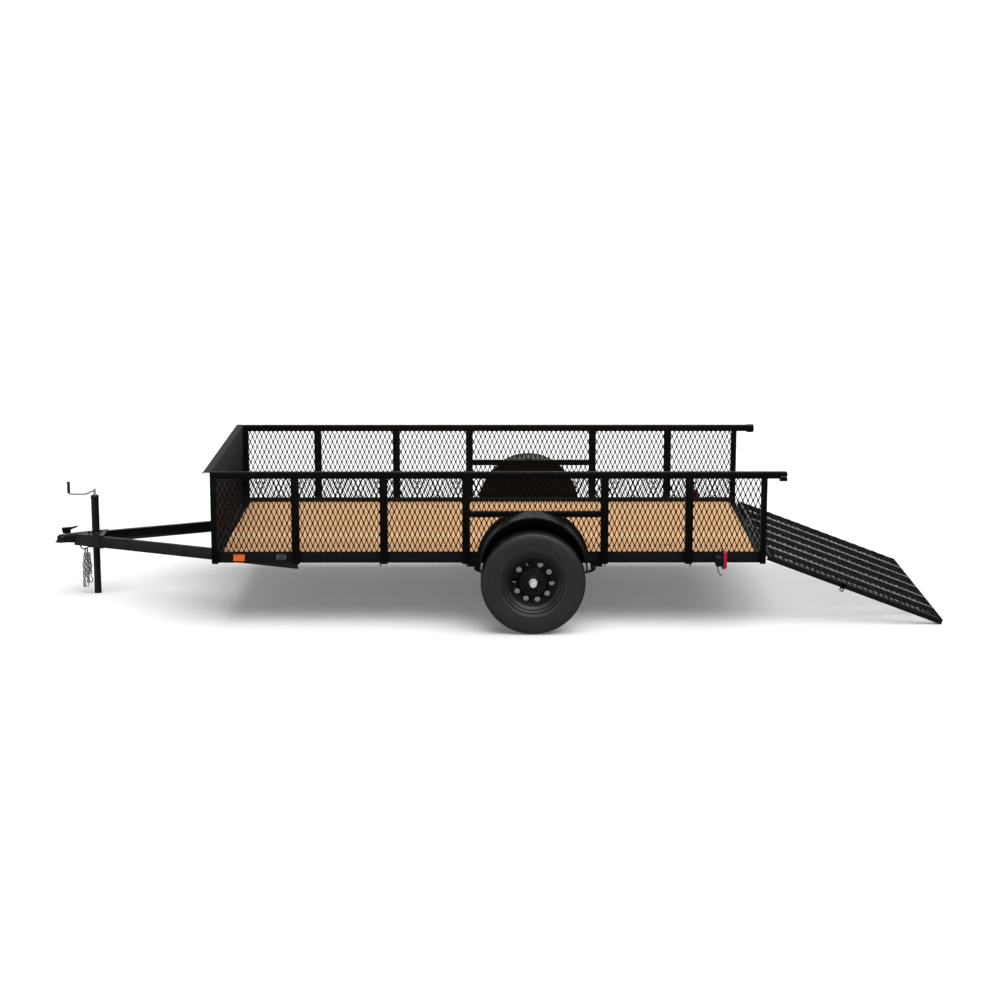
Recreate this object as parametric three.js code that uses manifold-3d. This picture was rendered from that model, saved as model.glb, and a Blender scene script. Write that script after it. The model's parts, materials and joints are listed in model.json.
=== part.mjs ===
// A single-axle utility trailer: a 12 ft bed with a board deck, side frames filled with expanded metal,
// a solid front wall and a hinged ramp at the tail. Millimetres, +X towards the tail, left side at -Y,
// +Z up. The trailer stands on its two tyres and its jack, with the ramp lowered to the ground.
import * as THREE from "three";
import { mergeVertices } from "three/addons/utils/BufferGeometryUtils.js";
import Module from "manifold-3d";

const wasm = await Module();
wasm.setup();

// ---- Driving dimensions. Stations along X are measured from the front face of the bed. ----
const GAP = 0.3; // between pieces that touch
const BED_LENGTH = 3658; // 12 ft
const HALF_WIDTH = 978; // to the outer faces of the posts, 77 in over all
const STEEL = 4.8; // wall of the rolled angle, 3/16 in
const SHEET = 3;

const TUBE = 44; // square tube of the top rails, and the depth of the posts
const POST_WIDTH = 50.8;
const END_POST_WIDTH = 38;
const POST_STATIONS = [527, 1109.6, 1652, 2564.5, 3122]; // front edge of each middle post
const TOP_RAIL_TOP = 1043.8;
const TOP_RAIL_STUB = 127; // how far the top rail runs on behind the last post
const MID_RAIL = 38;
const MID_RAIL_TOP = 780;

const RAIL_HEIGHT = 76.2; // 3 in angle
const RAIL_FOOT = 50;
const RAIL_BOTTOM = 427;
const RAIL_TOP = RAIL_BOTTOM + RAIL_HEIGHT;
const RAIL_OUT = HALF_WIDTH - TUBE - GAP; // outer face of the side rail, just inside the posts
const INNER_HALF = RAIL_OUT - STEEL - GAP; // room between the side rails
const BOARD = 38.1;
const BOARD_COUNT = 13;
const BOARD_GROOVE = 3;
const DECK_TOP = RAIL_BOTTOM + STEEL + BOARD;
const SILL_DEPTH = 46;
const DECK_STATION = 43.3; // front edge of the boards, behind the front rail's flange
const WALL_FLANGE_FRONT = -50;

const CROSSMEMBER_STATIONS = [552, 1103, 1677, 2135, 2594, 3161];
const CROSSMEMBER_BOTTOM = 397;
const CROSSMEMBER_FLANGE = 38;

const TONGUE_ANGLE = THREE.MathUtils.degToRad(25); // each side of the A-frame
const TONGUE_APEX = -1145; // where the outer faces of the two channels would meet
const TONGUE_FRONT = -1085;
const TONGUE_REAR = 548;
const CHANNEL_HEIGHT = 76.2;
const CHANNEL_FLANGE = 35.8;
const CHANNEL_WEB = 4.3;
const CHANNEL_LIP = 6;
const TONGUE_TOP = RAIL_BOTTOM - GAP;
const TONGUE_BOTTOM = TONGUE_TOP - CHANNEL_HEIGHT;

const COUPLER_TIP = -1221;
const BALL_STATION = -1178;
const BALL_RADIUS = 25.4; // 2 in ball
const COUPLER_WALL = 4;
const COUPLER_TOP = TONGUE_TOP + GAP + COUPLER_WALL;
const COUPLER_BOTTOM = 369;
const COUPLER_HALF = 34;
const COUPLER_ARM_REAR = -891;
const COUPLER_ROOF_REAR = -990;

const JACK_STATION = -941;
const JACK_TUBE_RADIUS = 28.5;
const JACK_TUBE_BORE = 26;
const JACK_TUBE_TOP = 703;
const JACK_TUBE_BOTTOM = 330;
const JACK_LEG_RADIUS = 25.4;
const JACK_LEG_TOP = 380;
const JACK_PLATE = 6;

const TYRE_RADIUS = 344.3; // a 205/75 tyre on a 15 in wheel
const TYRE_WIDTH = 205;
const WHEEL_STATION = 2117.5;
const WHEEL_OFFSET = 1105.5; // centre line of the tyre from the middle of the trailer
const AXLE_HEIGHT = TYRE_RADIUS;
const AXLE_RADIUS = 30;
const SPINDLE_RADIUS = 17;
const SPRING_OFFSET = 895;
const SPRING_WIDTH = 44;
const SPRING_FRONT_EYE = 1745;
const SPRING_REAR_EYE = 2520;
const SPRING_EYE_HEIGHT = 384;

const FENDER_RADIUS = 350;
const FENDER_CENTRE = 434;
const FENDER_OUT = 1207;
const BACKPLATE_RADIUS = 375;

const HINGE_STATION = 3680;
const HINGE_HEIGHT = 471;
const RAMP_LENGTH = 1255;
const RAMP_HALF = 925;
const RAMP_UNDER = 29; // from the hinge axis down to the underside of the ramp
const RAMP_OVER = 9; // and up to its walking face
const RAMP_BAR = 38; // 1 1/2 in angle
const RAMP_BAR_TOP = RAMP_OVER - SHEET - GAP; // the bars' upper faces, under the mesh
const RAMP_RIBS = 5; // between the two side bars
const RAMP_SLOPE =
  Math.asin(HINGE_HEIGHT / Math.hypot(RAMP_LENGTH, RAMP_UNDER)) -
  Math.atan(RAMP_UNDER / RAMP_LENGTH); // puts its tail corner on the ground

// The trailer's own origin is on the ground, midway between the coupler's tip and the ramp's tail.
const RAMP_TAIL =
  HINGE_STATION +
  RAMP_LENGTH * Math.cos(RAMP_SLOPE) +
  RAMP_BAR_TOP * Math.sin(RAMP_SLOPE);
const MIDDLE = (COUPLER_TIP + RAMP_TAIL) / 2;

const LEFT = -1;
const RIGHT = 1;
const SIDES = [
  ["left", LEFT],
  ["right", RIGHT],
];

// ---- Finishes ----
const finish = (color, roughness, metalness) =>
  new THREE.MeshStandardMaterial({ color, roughness, metalness });
const BLACK_PAINT = finish(0x151515, 0.45, 0.1);
const PANEL_PAINT = finish(0x262728, 0.5, 0.1);
const PINE = finish(0xc79a66, 0.75, 0);
const RUBBER = finish(0x2d2d2d, 0.85, 0);
const WHEEL_PAINT = finish(0x0e0e0e, 0.4, 0.1);
const ZINC = finish(0xb9bbbd, 0.35, 0.9);
const GRIP_PLASTIC = finish(0x101010, 0.6, 0);
const AMBER_LENS = finish(0xe8641e, 0.3, 0);
const RED_LENS = finish(0x8a2040, 0.3, 0);

// ---- Shape helpers ----
function toManifold(geometry) {
  const bare = (geometry.index ? geometry.toNonIndexed() : geometry).clone();
  bare.deleteAttribute("normal");
  bare.deleteAttribute("uv");
  const merged = mergeVertices(bare, 1e-3);
  const index = merged.index.array;
  const corners = [];
  for (let i = 0; i < index.length; i += 3) {
    const [a, b, c] = index.slice(i, i + 3);
    if (a !== b && b !== c && c !== a) corners.push(a, b, c);
  }
  return new wasm.Manifold(
    new wasm.Mesh({
      numProp: 3,
      vertProperties: merged.attributes.position.array,
      triVerts: new Uint32Array(corners),
    }),
  );
}

function toGeometry(solid) {
  const made = solid.getMesh();
  const stride = made.numProp;
  const places = new Float32Array(made.numVert * 3);
  for (let i = 0; i < made.numVert; i++)
    places.set(made.vertProperties.subarray(i * stride, i * stride + 3), i * 3);
  const geometry = new THREE.BufferGeometry();
  geometry.setAttribute("position", new THREE.BufferAttribute(places, 3));
  geometry.setIndex(new THREE.BufferAttribute(made.triVerts, 1));
  return geometry;
}

function join(...geometries) {
  return toGeometry(
    geometries.map(toManifold).reduce((whole, next) => whole.add(next)),
  );
}

function cut(body, ...tools) {
  return toGeometry(
    tools
      .map(toManifold)
      .reduce((rest, tool) => rest.subtract(tool), toManifold(body)),
  );
}

function keepWithin(body, region) {
  return toGeometry(toManifold(body).intersect(toManifold(region)));
}

function block(x0, x1, y0, y1, z0, z1) {
  const [ylo, yhi] = y0 < y1 ? [y0, y1] : [y1, y0];
  return new THREE.BoxGeometry(x1 - x0, yhi - ylo, z1 - z0).translate(
    (x0 + x1) / 2,
    (ylo + yhi) / 2,
    (z0 + z1) / 2,
  );
}

const asShape = (outline) =>
  outline instanceof THREE.Shape
    ? outline
    : new THREE.Shape(outline.map(([u, v]) => new THREE.Vector2(u, v)));

function slab(outline, depth, curveSegments = 12) {
  return new THREE.ExtrudeGeometry(asShape(outline), {
    depth,
    bevelEnabled: false,
    curveSegments,
  });
}

// An outline drawn in X and Z, as thick as from y0 to y1.
function alongY(outline, y0, y1, curveSegments) {
  const top = Math.max(y0, y1);
  return slab(outline, Math.abs(y1 - y0), curveSegments)
    .rotateX(Math.PI / 2)
    .translate(0, top, 0);
}

// An outline drawn in Y and Z, run from x0 to x1.
function alongX(outline, x0, x1) {
  const turn = new THREE.Matrix4().makeBasis(
    new THREE.Vector3(0, 1, 0),
    new THREE.Vector3(0, 0, 1),
    new THREE.Vector3(1, 0, 0),
  );
  return slab(outline, x1 - x0)
    .applyMatrix4(turn)
    .translate(x0, 0, 0);
}

// An outline drawn in X and Y, as thick as from z0 to z1.
function alongZ(outline, z0, z1, curveSegments) {
  return slab(outline, z1 - z0, curveSegments).translate(0, 0, z0);
}

// A turned piece on the Y axis from a closed profile of [radius, place], outboard being positive.
function turned(profile, segments) {
  const points = profile.map(([r, y]) => new THREE.Vector2(r, y));
  const ring = THREE.ShapeUtils.area(points) > 0 ? points : points.reverse();
  return new THREE.LatheGeometry([...ring, ring[0]], segments);
}

// The same on a vertical axis.
const turnedUp = (profile, segments) =>
  turned(profile, segments).rotateX(Math.PI / 2);

const mirrored = (outline, side) => outline.map(([y, z]) => [side * y, z]);

// ---- The group ----
const trailer = new THREE.Group();
const stations = new THREE.Group(); // everything in it is placed by its station
stations.position.x = -MIDDLE;
trailer.add(stations);

function place(name, geometry, material, parent = stations) {
  const mesh = new THREE.Mesh(geometry, material);
  mesh.name = name;
  parent.add(mesh);
  return mesh;
}

// ---- Bed frame ----
function sideRail(side) {
  const outline = [
    [RAIL_OUT, RAIL_BOTTOM],
    [RAIL_OUT, RAIL_TOP],
    [RAIL_OUT - STEEL, RAIL_TOP],
    [RAIL_OUT - STEEL, RAIL_BOTTOM + STEEL],
    [RAIL_OUT - RAIL_FOOT, RAIL_BOTTOM + STEEL],
    [RAIL_OUT - RAIL_FOOT, RAIL_BOTTOM],
  ];
  return alongX(mirrored(outline, side), 0, BED_LENGTH);
}

// The front rail has a flange level with the deck, which the boards butt against.
function frontRail() {
  const foot = RAIL_BOTTOM + STEEL + GAP;
  const flangeRear = DECK_STATION - 2 * GAP;
  const outline = [
    [0, foot],
    [STEEL, foot],
    [STEEL, DECK_TOP - STEEL],
    [flangeRear, DECK_TOP - STEEL],
    [flangeRear, DECK_TOP],
    [STEEL, DECK_TOP],
    [STEEL, RAIL_TOP],
    [0, RAIL_TOP],
  ];
  return alongY(outline, -INNER_HALF, INNER_HALF);
}

// The sill at the tail: its top face is level with the deck.
function rearRail() {
  const outline = [
    [BED_LENGTH - STEEL, RAIL_BOTTOM + STEEL + GAP],
    [BED_LENGTH, RAIL_BOTTOM + STEEL + GAP],
    [BED_LENGTH, DECK_TOP],
    [BED_LENGTH - SILL_DEPTH, DECK_TOP],
    [BED_LENGTH - SILL_DEPTH, DECK_TOP - STEEL],
    [BED_LENGTH - STEEL, DECK_TOP - STEEL],
  ];
  return alongY(outline, -INNER_HALF, INNER_HALF);
}

// An angle on edge: its flange carries the boards, its leg hangs down and passes under the side rails.
function crossmember(station) {
  const inner = RAIL_OUT - RAIL_FOOT - GAP;
  const top = RAIL_BOTTOM + STEEL - GAP;
  const under = RAIL_BOTTOM - GAP;
  const leg = [
    [-INNER_HALF, CROSSMEMBER_BOTTOM],
    [INNER_HALF, CROSSMEMBER_BOTTOM],
    [INNER_HALF, under],
    [inner, under],
    [inner, top],
    [-inner, top],
    [-inner, under],
    [-INNER_HALF, under],
  ];
  return join(
    alongX(leg, station, station + STEEL),
    block(
      station + 1,
      station + CROSSMEMBER_FLANGE,
      -inner,
      inner,
      top - STEEL,
      top,
    ),
  );
}

function deck() {
  const wide = (2 * INNER_HALF) / BOARD_COUNT;
  const under = RAIL_BOTTOM + STEEL + GAP;
  const outline = [
    [-INNER_HALF, under],
    [INNER_HALF, under],
    [INNER_HALF, DECK_TOP],
  ];
  for (let i = BOARD_COUNT - 1; i > 0; i--) {
    const y = -INNER_HALF + i * wide;
    outline.push([y + BOARD_GROOVE / 2, DECK_TOP]);
    outline.push([y, DECK_TOP - 2 * BOARD_GROOVE]);
    outline.push([y - BOARD_GROOVE / 2, DECK_TOP]);
  }
  outline.push([-INNER_HALF, DECK_TOP]);
  return alongX(
    outline,
    DECK_STATION,
    BED_LENGTH - SILL_DEPTH - GAP,
  );
}

// ---- Sides ----
function sideFrame(side) {
  const inner = side * (HALF_WIDTH - TUBE);
  const outer = side * HALF_WIDTH;
  const railUnder = TOP_RAIL_TOP - TUBE;
  const post = (x, width) =>
    block(x, x + width, inner, outer, RAIL_BOTTOM, railUnder + 1);
  const midFront = POST_STATIONS[2] + POST_WIDTH - 1;
  const midRear = POST_STATIONS[3] + 1;
  return join(
    block(
      0,
      BED_LENGTH + TOP_RAIL_STUB,
      inner,
      outer,
      railUnder,
      TOP_RAIL_TOP,
    ),
    post(0, END_POST_WIDTH),
    post(BED_LENGTH - END_POST_WIDTH, END_POST_WIDTH),
    ...POST_STATIONS.map((x) => post(x, POST_WIDTH)),
    block(
      midFront,
      midRear,
      side * (HALF_WIDTH - MID_RAIL),
      outer,
      MID_RAIL_TOP - MID_RAIL,
      MID_RAIL_TOP,
    ),
  );
}

// The sheet of expanded metal, welded to the inner faces of the posts and standing on the side rail.
function sideMesh(side) {
  const outer = HALF_WIDTH - TUBE - GAP;
  return block(
    2,
    BED_LENGTH - 2,
    side * (outer - SHEET),
    side * outer,
    RAIL_TOP + GAP,
    TOP_RAIL_TOP - TUBE + 12,
  );
}

// The solid front wall stands against the front faces of the posts, and its top edge is folded forward.
function frontWall() {
  const flangeUnder = TOP_RAIL_TOP + GAP - SHEET;
  return join(
    block(
      -GAP - SHEET,
      -GAP,
      -HALF_WIDTH,
      HALF_WIDTH,
      RAIL_BOTTOM + STEEL + GAP,
      flangeUnder + SHEET,
    ),
    block(
      WALL_FLANGE_FRONT,
      -GAP,
      -HALF_WIDTH,
      HALF_WIDTH,
      flangeUnder,
      flangeUnder + SHEET,
    ),
  );
}

// ---- Tongue, coupler and jack ----
const tongueOut = (station) =>
  Math.tan(TONGUE_ANGLE) * (station - TONGUE_APEX);

function tongueChannel(side) {
  const web = CHANNEL_WEB;
  const outline = [
    [0, TONGUE_BOTTOM],
    [0, TONGUE_TOP],
    [-CHANNEL_FLANGE, TONGUE_TOP],
    [-CHANNEL_FLANGE, TONGUE_TOP - CHANNEL_LIP],
    [-web, TONGUE_TOP - CHANNEL_LIP],
    [-web, TONGUE_BOTTOM + CHANNEL_LIP],
    [-CHANNEL_FLANGE, TONGUE_BOTTOM + CHANNEL_LIP],
    [-CHANNEL_FLANGE, TONGUE_BOTTOM],
  ];
  const length = (TONGUE_REAR - TONGUE_APEX) / Math.cos(TONGUE_ANGLE) + 100;
  const bar = alongX(mirrored(outline, side), 0, length)
    .rotateZ(side * TONGUE_ANGLE)
    .translate(TONGUE_APEX, 0, 0);
  const region = block(
    TONGUE_FRONT,
    TONGUE_REAR,
    side * GAP,
    side * HALF_WIDTH,
    TONGUE_BOTTOM - 1,
    TONGUE_TOP + 1,
  );
  return keepWithin(bar, region);
}

// The pressed steel coupler behind its ball socket: a hood, a roof over the apex of the tongue, and two
// arms welded to the channels.
const HEAD_SKIRT = 4; // height of the rolled lip round the socket's mouth
const COUPLER_SHOULDER = TONGUE_FRONT - 6;

function coupler() {
  const thick = COUPLER_WALL / Math.cos(TONGUE_ANGLE);
  const out = (x) => tongueOut(x) + GAP;
  const arm = (side) =>
    alongZ(
      mirroredPlan(
        [
          [COUPLER_SHOULDER, out(COUPLER_SHOULDER)],
          [COUPLER_ARM_REAR, out(COUPLER_ARM_REAR)],
          [COUPLER_ARM_REAR, out(COUPLER_ARM_REAR) + thick],
          [COUPLER_SHOULDER, out(COUPLER_SHOULDER) + thick],
        ],
        side,
      ),
      TONGUE_BOTTOM,
      COUPLER_TOP,
    );
  const edge = (x) => out(x) + 1;
  const roof = alongZ(
    [
      [COUPLER_SHOULDER, -edge(COUPLER_SHOULDER)],
      [COUPLER_ROOF_REAR, -edge(COUPLER_ROOF_REAR)],
      [COUPLER_ROOF_REAR, edge(COUPLER_ROOF_REAR)],
      [COUPLER_SHOULDER, edge(COUPLER_SHOULDER)],
    ],
    COUPLER_TOP - COUPLER_WALL,
    COUPLER_TOP,
  );
  const hood = block(
    BALL_STATION,
    TONGUE_FRONT - 1,
    -COUPLER_HALF,
    COUPLER_HALF,
    COUPLER_BOTTOM,
    COUPLER_TOP,
  );
  const hollow = block(
    BALL_STATION - 1,
    TONGUE_FRONT,
    -COUPLER_HALF + COUPLER_WALL,
    COUPLER_HALF - COUPLER_WALL,
    COUPLER_BOTTOM - 1,
    COUPLER_TOP - COUPLER_WALL,
  );
  return cut(
    join(cut(hood, hollow), roof, arm(LEFT), arm(RIGHT)),
    socketSolid(GAP),
  );
}

// The outer shape of the socket, larger all round by some clearance.
function socketSolid(clearance) {
  const top = COUPLER_TOP + clearance;
  const skirt = BALL_STATION - COUPLER_TIP + clearance;
  const barrel = COUPLER_HALF + clearance;
  return turnedUp(
    [
      [0, top],
      [BALL_RADIUS, top - 4],
      [barrel, top - 22],
      [barrel, COUPLER_BOTTOM + HEAD_SKIRT + clearance],
      [skirt, COUPLER_BOTTOM + HEAD_SKIRT + clearance],
      [skirt, COUPLER_BOTTOM - clearance],
      [0, COUPLER_BOTTOM - clearance],
    ],
    24,
  ).translate(BALL_STATION, 0, 0);
}

// The ball socket at the tip of the coupler.
function couplerHead() {
  const bore = turnedUp(
    [
      [0, COUPLER_TOP - 8],
      [14, COUPLER_TOP - 12],
      [BALL_RADIUS, COUPLER_TOP - 32],
      [BALL_RADIUS, COUPLER_BOTTOM - 1],
      [0, COUPLER_BOTTOM - 1],
    ],
    24,
  ).translate(BALL_STATION, 0, 0);
  return cut(socketSolid(0), bore);
}

const mirroredPlan = (outline, side) => outline.map(([x, y]) => [x, side * y]);

// The hand lever that locks the coupler on the ball: a foot on the hood, and an arm that runs rearwards.
const LATCH_FRONT = -1176;
const LATCH_ARM_END = -1068;
const LATCH_RISE = 40; // of the arm's front end over the hood
const LATCH_HALF = 11;

function couplerLatch() {
  const base = COUPLER_TOP + GAP;
  const outline = [
    [LATCH_FRONT + 8, base],
    [LATCH_FRONT + 48, base],
    [LATCH_FRONT + 52, base + LATCH_RISE - 6],
    [LATCH_ARM_END, base + LATCH_RISE + 6],
    [LATCH_ARM_END - 2, base + LATCH_RISE + 11],
    [LATCH_FRONT + 46, base + LATCH_RISE + 2],
    [LATCH_FRONT, base + LATCH_RISE],
    [LATCH_FRONT + 2, base + LATCH_RISE - 8],
  ];
  return alongY(outline, -LATCH_HALF, LATCH_HALF);
}

// A bent bar under the apex that the two safety chains hang from.
const LOOP_STATION = -1026;
const LOOP_RADIUS = 34;
const LOOP_BAR = 10;
const LOOP_DROP = 6; // straight part of each end, above the bend

function chainLoop() {
  const top = TONGUE_BOTTOM - GAP;
  const bend = top - LOOP_DROP;
  const inner = LOOP_RADIUS - LOOP_BAR;
  const outer = new THREE.Shape();
  outer.moveTo(LOOP_STATION - LOOP_RADIUS, top);
  outer.lineTo(LOOP_STATION - LOOP_RADIUS, bend);
  outer.absarc(LOOP_STATION, bend, LOOP_RADIUS, Math.PI, 2 * Math.PI, false);
  outer.lineTo(LOOP_STATION + LOOP_RADIUS, top);
  outer.lineTo(LOOP_STATION + inner, top);
  outer.lineTo(LOOP_STATION + inner, bend);
  outer.absarc(LOOP_STATION, bend, inner, 2 * Math.PI, Math.PI, true);
  outer.lineTo(LOOP_STATION - inner, top);
  return alongY(outer, -LOOP_BAR / 2, LOOP_BAR / 2, 8);
}

// A safety chain hangs doubled; this is the space that its links fill.
const CHAIN_TOP = 309;
const CHAIN_FOOT = { [LEFT]: 52, [RIGHT]: 70 };
const CHAIN_SHIFT = { [LEFT]: 4, [RIGHT]: 26 }; // behind the middle of the loop
const CHAIN_HALF = 13;
const CHAIN_IN = 7;
const CHAIN_OUT = 25;

function safetyChain(side) {
  const station = LOOP_STATION + CHAIN_SHIFT[side];
  return block(
    station - CHAIN_HALF,
    station + CHAIN_HALF,
    side * CHAIN_IN,
    side * CHAIN_OUT,
    CHAIN_FOOT[side],
    CHAIN_TOP,
  );
}

const JACK_PLATE_REAR = -872;

function jackPlate(z0) {
  const front = COUPLER_ROOF_REAR + GAP;
  const rear = JACK_PLATE_REAR;
  const outline = new THREE.Shape(
    [
      [front, -tongueOut(front) + 1],
      [rear, -tongueOut(rear) + 1],
      [rear, tongueOut(rear) - 1],
      [front, tongueOut(front) - 1],
    ].map(([x, y]) => new THREE.Vector2(x, y)),
  );
  const hole = new THREE.Path();
  hole.absarc(JACK_STATION, 0, JACK_TUBE_RADIUS + GAP, 0, 2 * Math.PI, true);
  outline.holes.push(hole);
  return alongZ(outline, z0, z0 + JACK_PLATE, 16);
}

function jackTube() {
  const wall = JACK_TUBE_RADIUS - JACK_TUBE_BORE;
  return turnedUp(
    [
      [0, JACK_TUBE_TOP],
      [JACK_TUBE_RADIUS, JACK_TUBE_TOP],
      [JACK_TUBE_RADIUS, JACK_TUBE_BOTTOM],
      [JACK_TUBE_BORE, JACK_TUBE_BOTTOM],
      [JACK_TUBE_BORE, JACK_TUBE_TOP - wall],
      [0, JACK_TUBE_TOP - wall],
    ],
    32,
  ).translate(JACK_STATION, 0, 0);
}

const jackLeg = () =>
  turnedUp(
    [
      [0, 0],
      [JACK_LEG_RADIUS, 0],
      [JACK_LEG_RADIUS, JACK_LEG_TOP],
      [0, JACK_LEG_TOP],
    ],
    32,
  ).translate(JACK_STATION, 0, 0);

const CRANK_REACH = -1122; // station of the grip
const CRANK_HEIGHT = 709;
const CRANK_ROD = 5;
const CRANK_COLLAR = 14;
const CRANK_SPINDLE = 8;
const CRANK_SPINDLE_TOP = JACK_TUBE_TOP + 46;
const GRIP_RADIUS = 11;
const GRIP_TOP = 799;
const GRIP_FOOT = CRANK_HEIGHT + 13;

function jackCrank() {
  const spindle = turnedUp(
    [
      [0, JACK_TUBE_TOP + GAP],
      [CRANK_COLLAR, JACK_TUBE_TOP + GAP],
      [CRANK_COLLAR, JACK_TUBE_TOP + 8],
      [CRANK_SPINDLE, JACK_TUBE_TOP + 10],
      [CRANK_SPINDLE, CRANK_SPINDLE_TOP],
      [0, CRANK_SPINDLE_TOP],
    ],
    16,
  ).translate(JACK_STATION, 0, 0);
  const route = new THREE.CatmullRomCurve3(
    [
      [JACK_STATION, CRANK_SPINDLE_TOP - 17],
      [JACK_STATION - 22, CRANK_SPINDLE_TOP - 22],
      [JACK_STATION - 55, CRANK_HEIGHT + 2],
      [JACK_STATION - 89, CRANK_HEIGHT],
      [CRANK_REACH + 30, CRANK_HEIGHT],
      [CRANK_REACH + 6, CRANK_HEIGHT + 1],
      [CRANK_REACH, CRANK_HEIGHT + 8],
      [CRANK_REACH, GRIP_FOOT],
    ].map(([x, z]) => new THREE.Vector3(x, 0, z)),
    false,
    "catmullrom",
    0.4,
  );
  const section = new THREE.Shape();
  section.absarc(0, 0, CRANK_ROD, 0, 2 * Math.PI, false);
  const rod = new THREE.ExtrudeGeometry(section, {
    extrudePath: route,
    steps: 16,
    curveSegments: 4,
    bevelEnabled: false,
  });
  return join(spindle, rod);
}

function jackGrip() {
  const foot = GRIP_FOOT + 2 * GAP;
  return turnedUp(
    [
      [0, foot],
      [GRIP_RADIUS - 1, foot],
      [GRIP_RADIUS, foot + 6],
      [GRIP_RADIUS, GRIP_TOP - 4],
      [GRIP_RADIUS - 2, GRIP_TOP],
      [0, GRIP_TOP],
    ],
    16,
  ).translate(CRANK_REACH, 0, 0);
}

// ---- Running gear ----
function axleBeam() {
  const shoulder = 985;
  const end = 1150;
  const half = [
    [0, 0],
    [AXLE_RADIUS, 0],
    [AXLE_RADIUS, shoulder],
    [SPINDLE_RADIUS, shoulder],
    [SPINDLE_RADIUS, end],
    [0, end],
  ];
  const rear = half.map(([r, y]) => [r, -y]);
  return join(turned(half, 24), turned(rear, 24)).translate(
    WHEEL_STATION,
    0,
    AXLE_HEIGHT,
  );
}

// A pack of three leaves slung under the axle, with a rolled eye at each end.
function leafSpring(side) {
  const leaf = 7;
  const top = AXLE_HEIGHT - AXLE_RADIUS - 4;
  const y0 = side * (SPRING_OFFSET - SPRING_WIDTH / 2);
  const y1 = side * (SPRING_OFFSET + SPRING_WIDTH / 2);
  const rise = (x) => {
    const eye = x < WHEEL_STATION ? SPRING_FRONT_EYE : SPRING_REAR_EYE;
    const share = (x - WHEEL_STATION) / (eye - WHEEL_STATION);
    return top + (SPRING_EYE_HEIGHT - 14 - top) * share * share;
  };
  const steps = 12;
  const strip = (x0, x1, high, low) => {
    const ups = [];
    for (let i = 0; i <= steps; i++) ups.push(x0 + ((x1 - x0) * i) / steps);
    return alongY(
      [
        ...ups.map((x) => [x, rise(x) - high]),
        ...ups.reverse().map((x) => [x, rise(x) - low]),
      ],
      y0,
      y1,
    );
  };
  const eye = (x) =>
    turned(
      [
        [0, -SPRING_WIDTH / 2],
        [17, -SPRING_WIDTH / 2],
        [17, SPRING_WIDTH / 2],
        [0, SPRING_WIDTH / 2],
      ],
      16,
    ).translate(x, side * SPRING_OFFSET, SPRING_EYE_HEIGHT);
  return join(
    strip(SPRING_FRONT_EYE, SPRING_REAR_EYE, 0, leaf),
    strip(SPRING_FRONT_EYE + 110, SPRING_REAR_EYE - 110, leaf - 1, 2 * leaf),
    strip(
      SPRING_FRONT_EYE + 220,
      SPRING_REAR_EYE - 220,
      2 * leaf - 1,
      3 * leaf,
    ),
    eye(SPRING_FRONT_EYE),
    eye(SPRING_REAR_EYE),
  );
}

// The hanger under the rail: two cheeks and a crown, with the spring's eye between them.
const HANGER_FOOT = 371;
const HANGER_REACH = 62; // from the eye to the hanger's end away from the axle
const HANGER_NOSE = 24; // and to its end nearest the axle

function springHanger(side, eyeStation, inward) {
  const top = RAIL_BOTTOM - 2 * GAP;
  const at = (reach) => eyeStation + inward * reach;
  const cheek = [
    [at(-HANGER_REACH), top],
    [at(-HANGER_REACH + 2), CROSSMEMBER_BOTTOM],
    [at(-16), CROSSMEMBER_BOTTOM],
    [at(-10), HANGER_FOOT],
    [at(10), HANGER_FOOT],
    [at(HANGER_NOSE), top],
  ];
  const room = SPRING_WIDTH / 2 + 1;
  const outer = room + STEEL;
  const low = side * SPRING_OFFSET - outer;
  const [x0, x1] = [at(-20), at(HANGER_REACH)].sort((a, b) => a - b);
  const slot = block(
    x0,
    x1,
    side * SPRING_OFFSET - room,
    side * SPRING_OFFSET + room,
    HANGER_FOOT - 1,
    top - STEEL,
  );
  return cut(alongY(cheek, low, low + 2 * outer), slot);
}

function tyre(side) {
  const half = TYRE_WIDTH / 2;
  const section = [
    [TYRE_RADIUS, 0],
    [TYRE_RADIUS - 3, half * 0.72],
    [TYRE_RADIUS - 26, half * 0.93],
    [TYRE_RADIUS - 76, half],
    [206, half - 14],
    [204.6, half - 23],
    [192.6, half - 25],
    [192.6, half - 36],
    [262, half - 14],
    [320, half - 24],
    [331, 0],
  ];
  const back = section
    .slice(1, -1)
    .reverse()
    .map(([r, y]) => [r, -y]);
  return turned([...section, ...back], 48).translate(
    0,
    side * WHEEL_OFFSET,
    0,
  );
}

// The pressed steel wheel: a drop-centre rim and a dished disc with a raised hub face.
function wheelRim(side) {
  const rim = [
    [204, 84],
    [204, 80],
    [191, 78],
    [165, 34],
    [165, -20],
    [191, -78],
    [204, -80],
    [204, -84],
    [186, -80],
    [160, -22],
    [160, 36],
    [186, 80],
  ];
  const disc = [
    [42, 45],
    [42, 50],
    [86, 50],
    [106, 18],
    [150, 18],
    [162, 24],
    [162, 4],
    [102, 12],
    [84, 45],
  ];
  return join(outboard(rim, side, 24), outboard(disc, side, 24)).translate(
    0,
    side * WHEEL_OFFSET,
    0,
  );
}

// A turned piece whose profile counts outwards from the wheel's middle plane.
const outboard = (profile, side, segments) =>
  turned(
    profile.map(([r, y]) => [r, side * y]),
    segments,
  );

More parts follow.
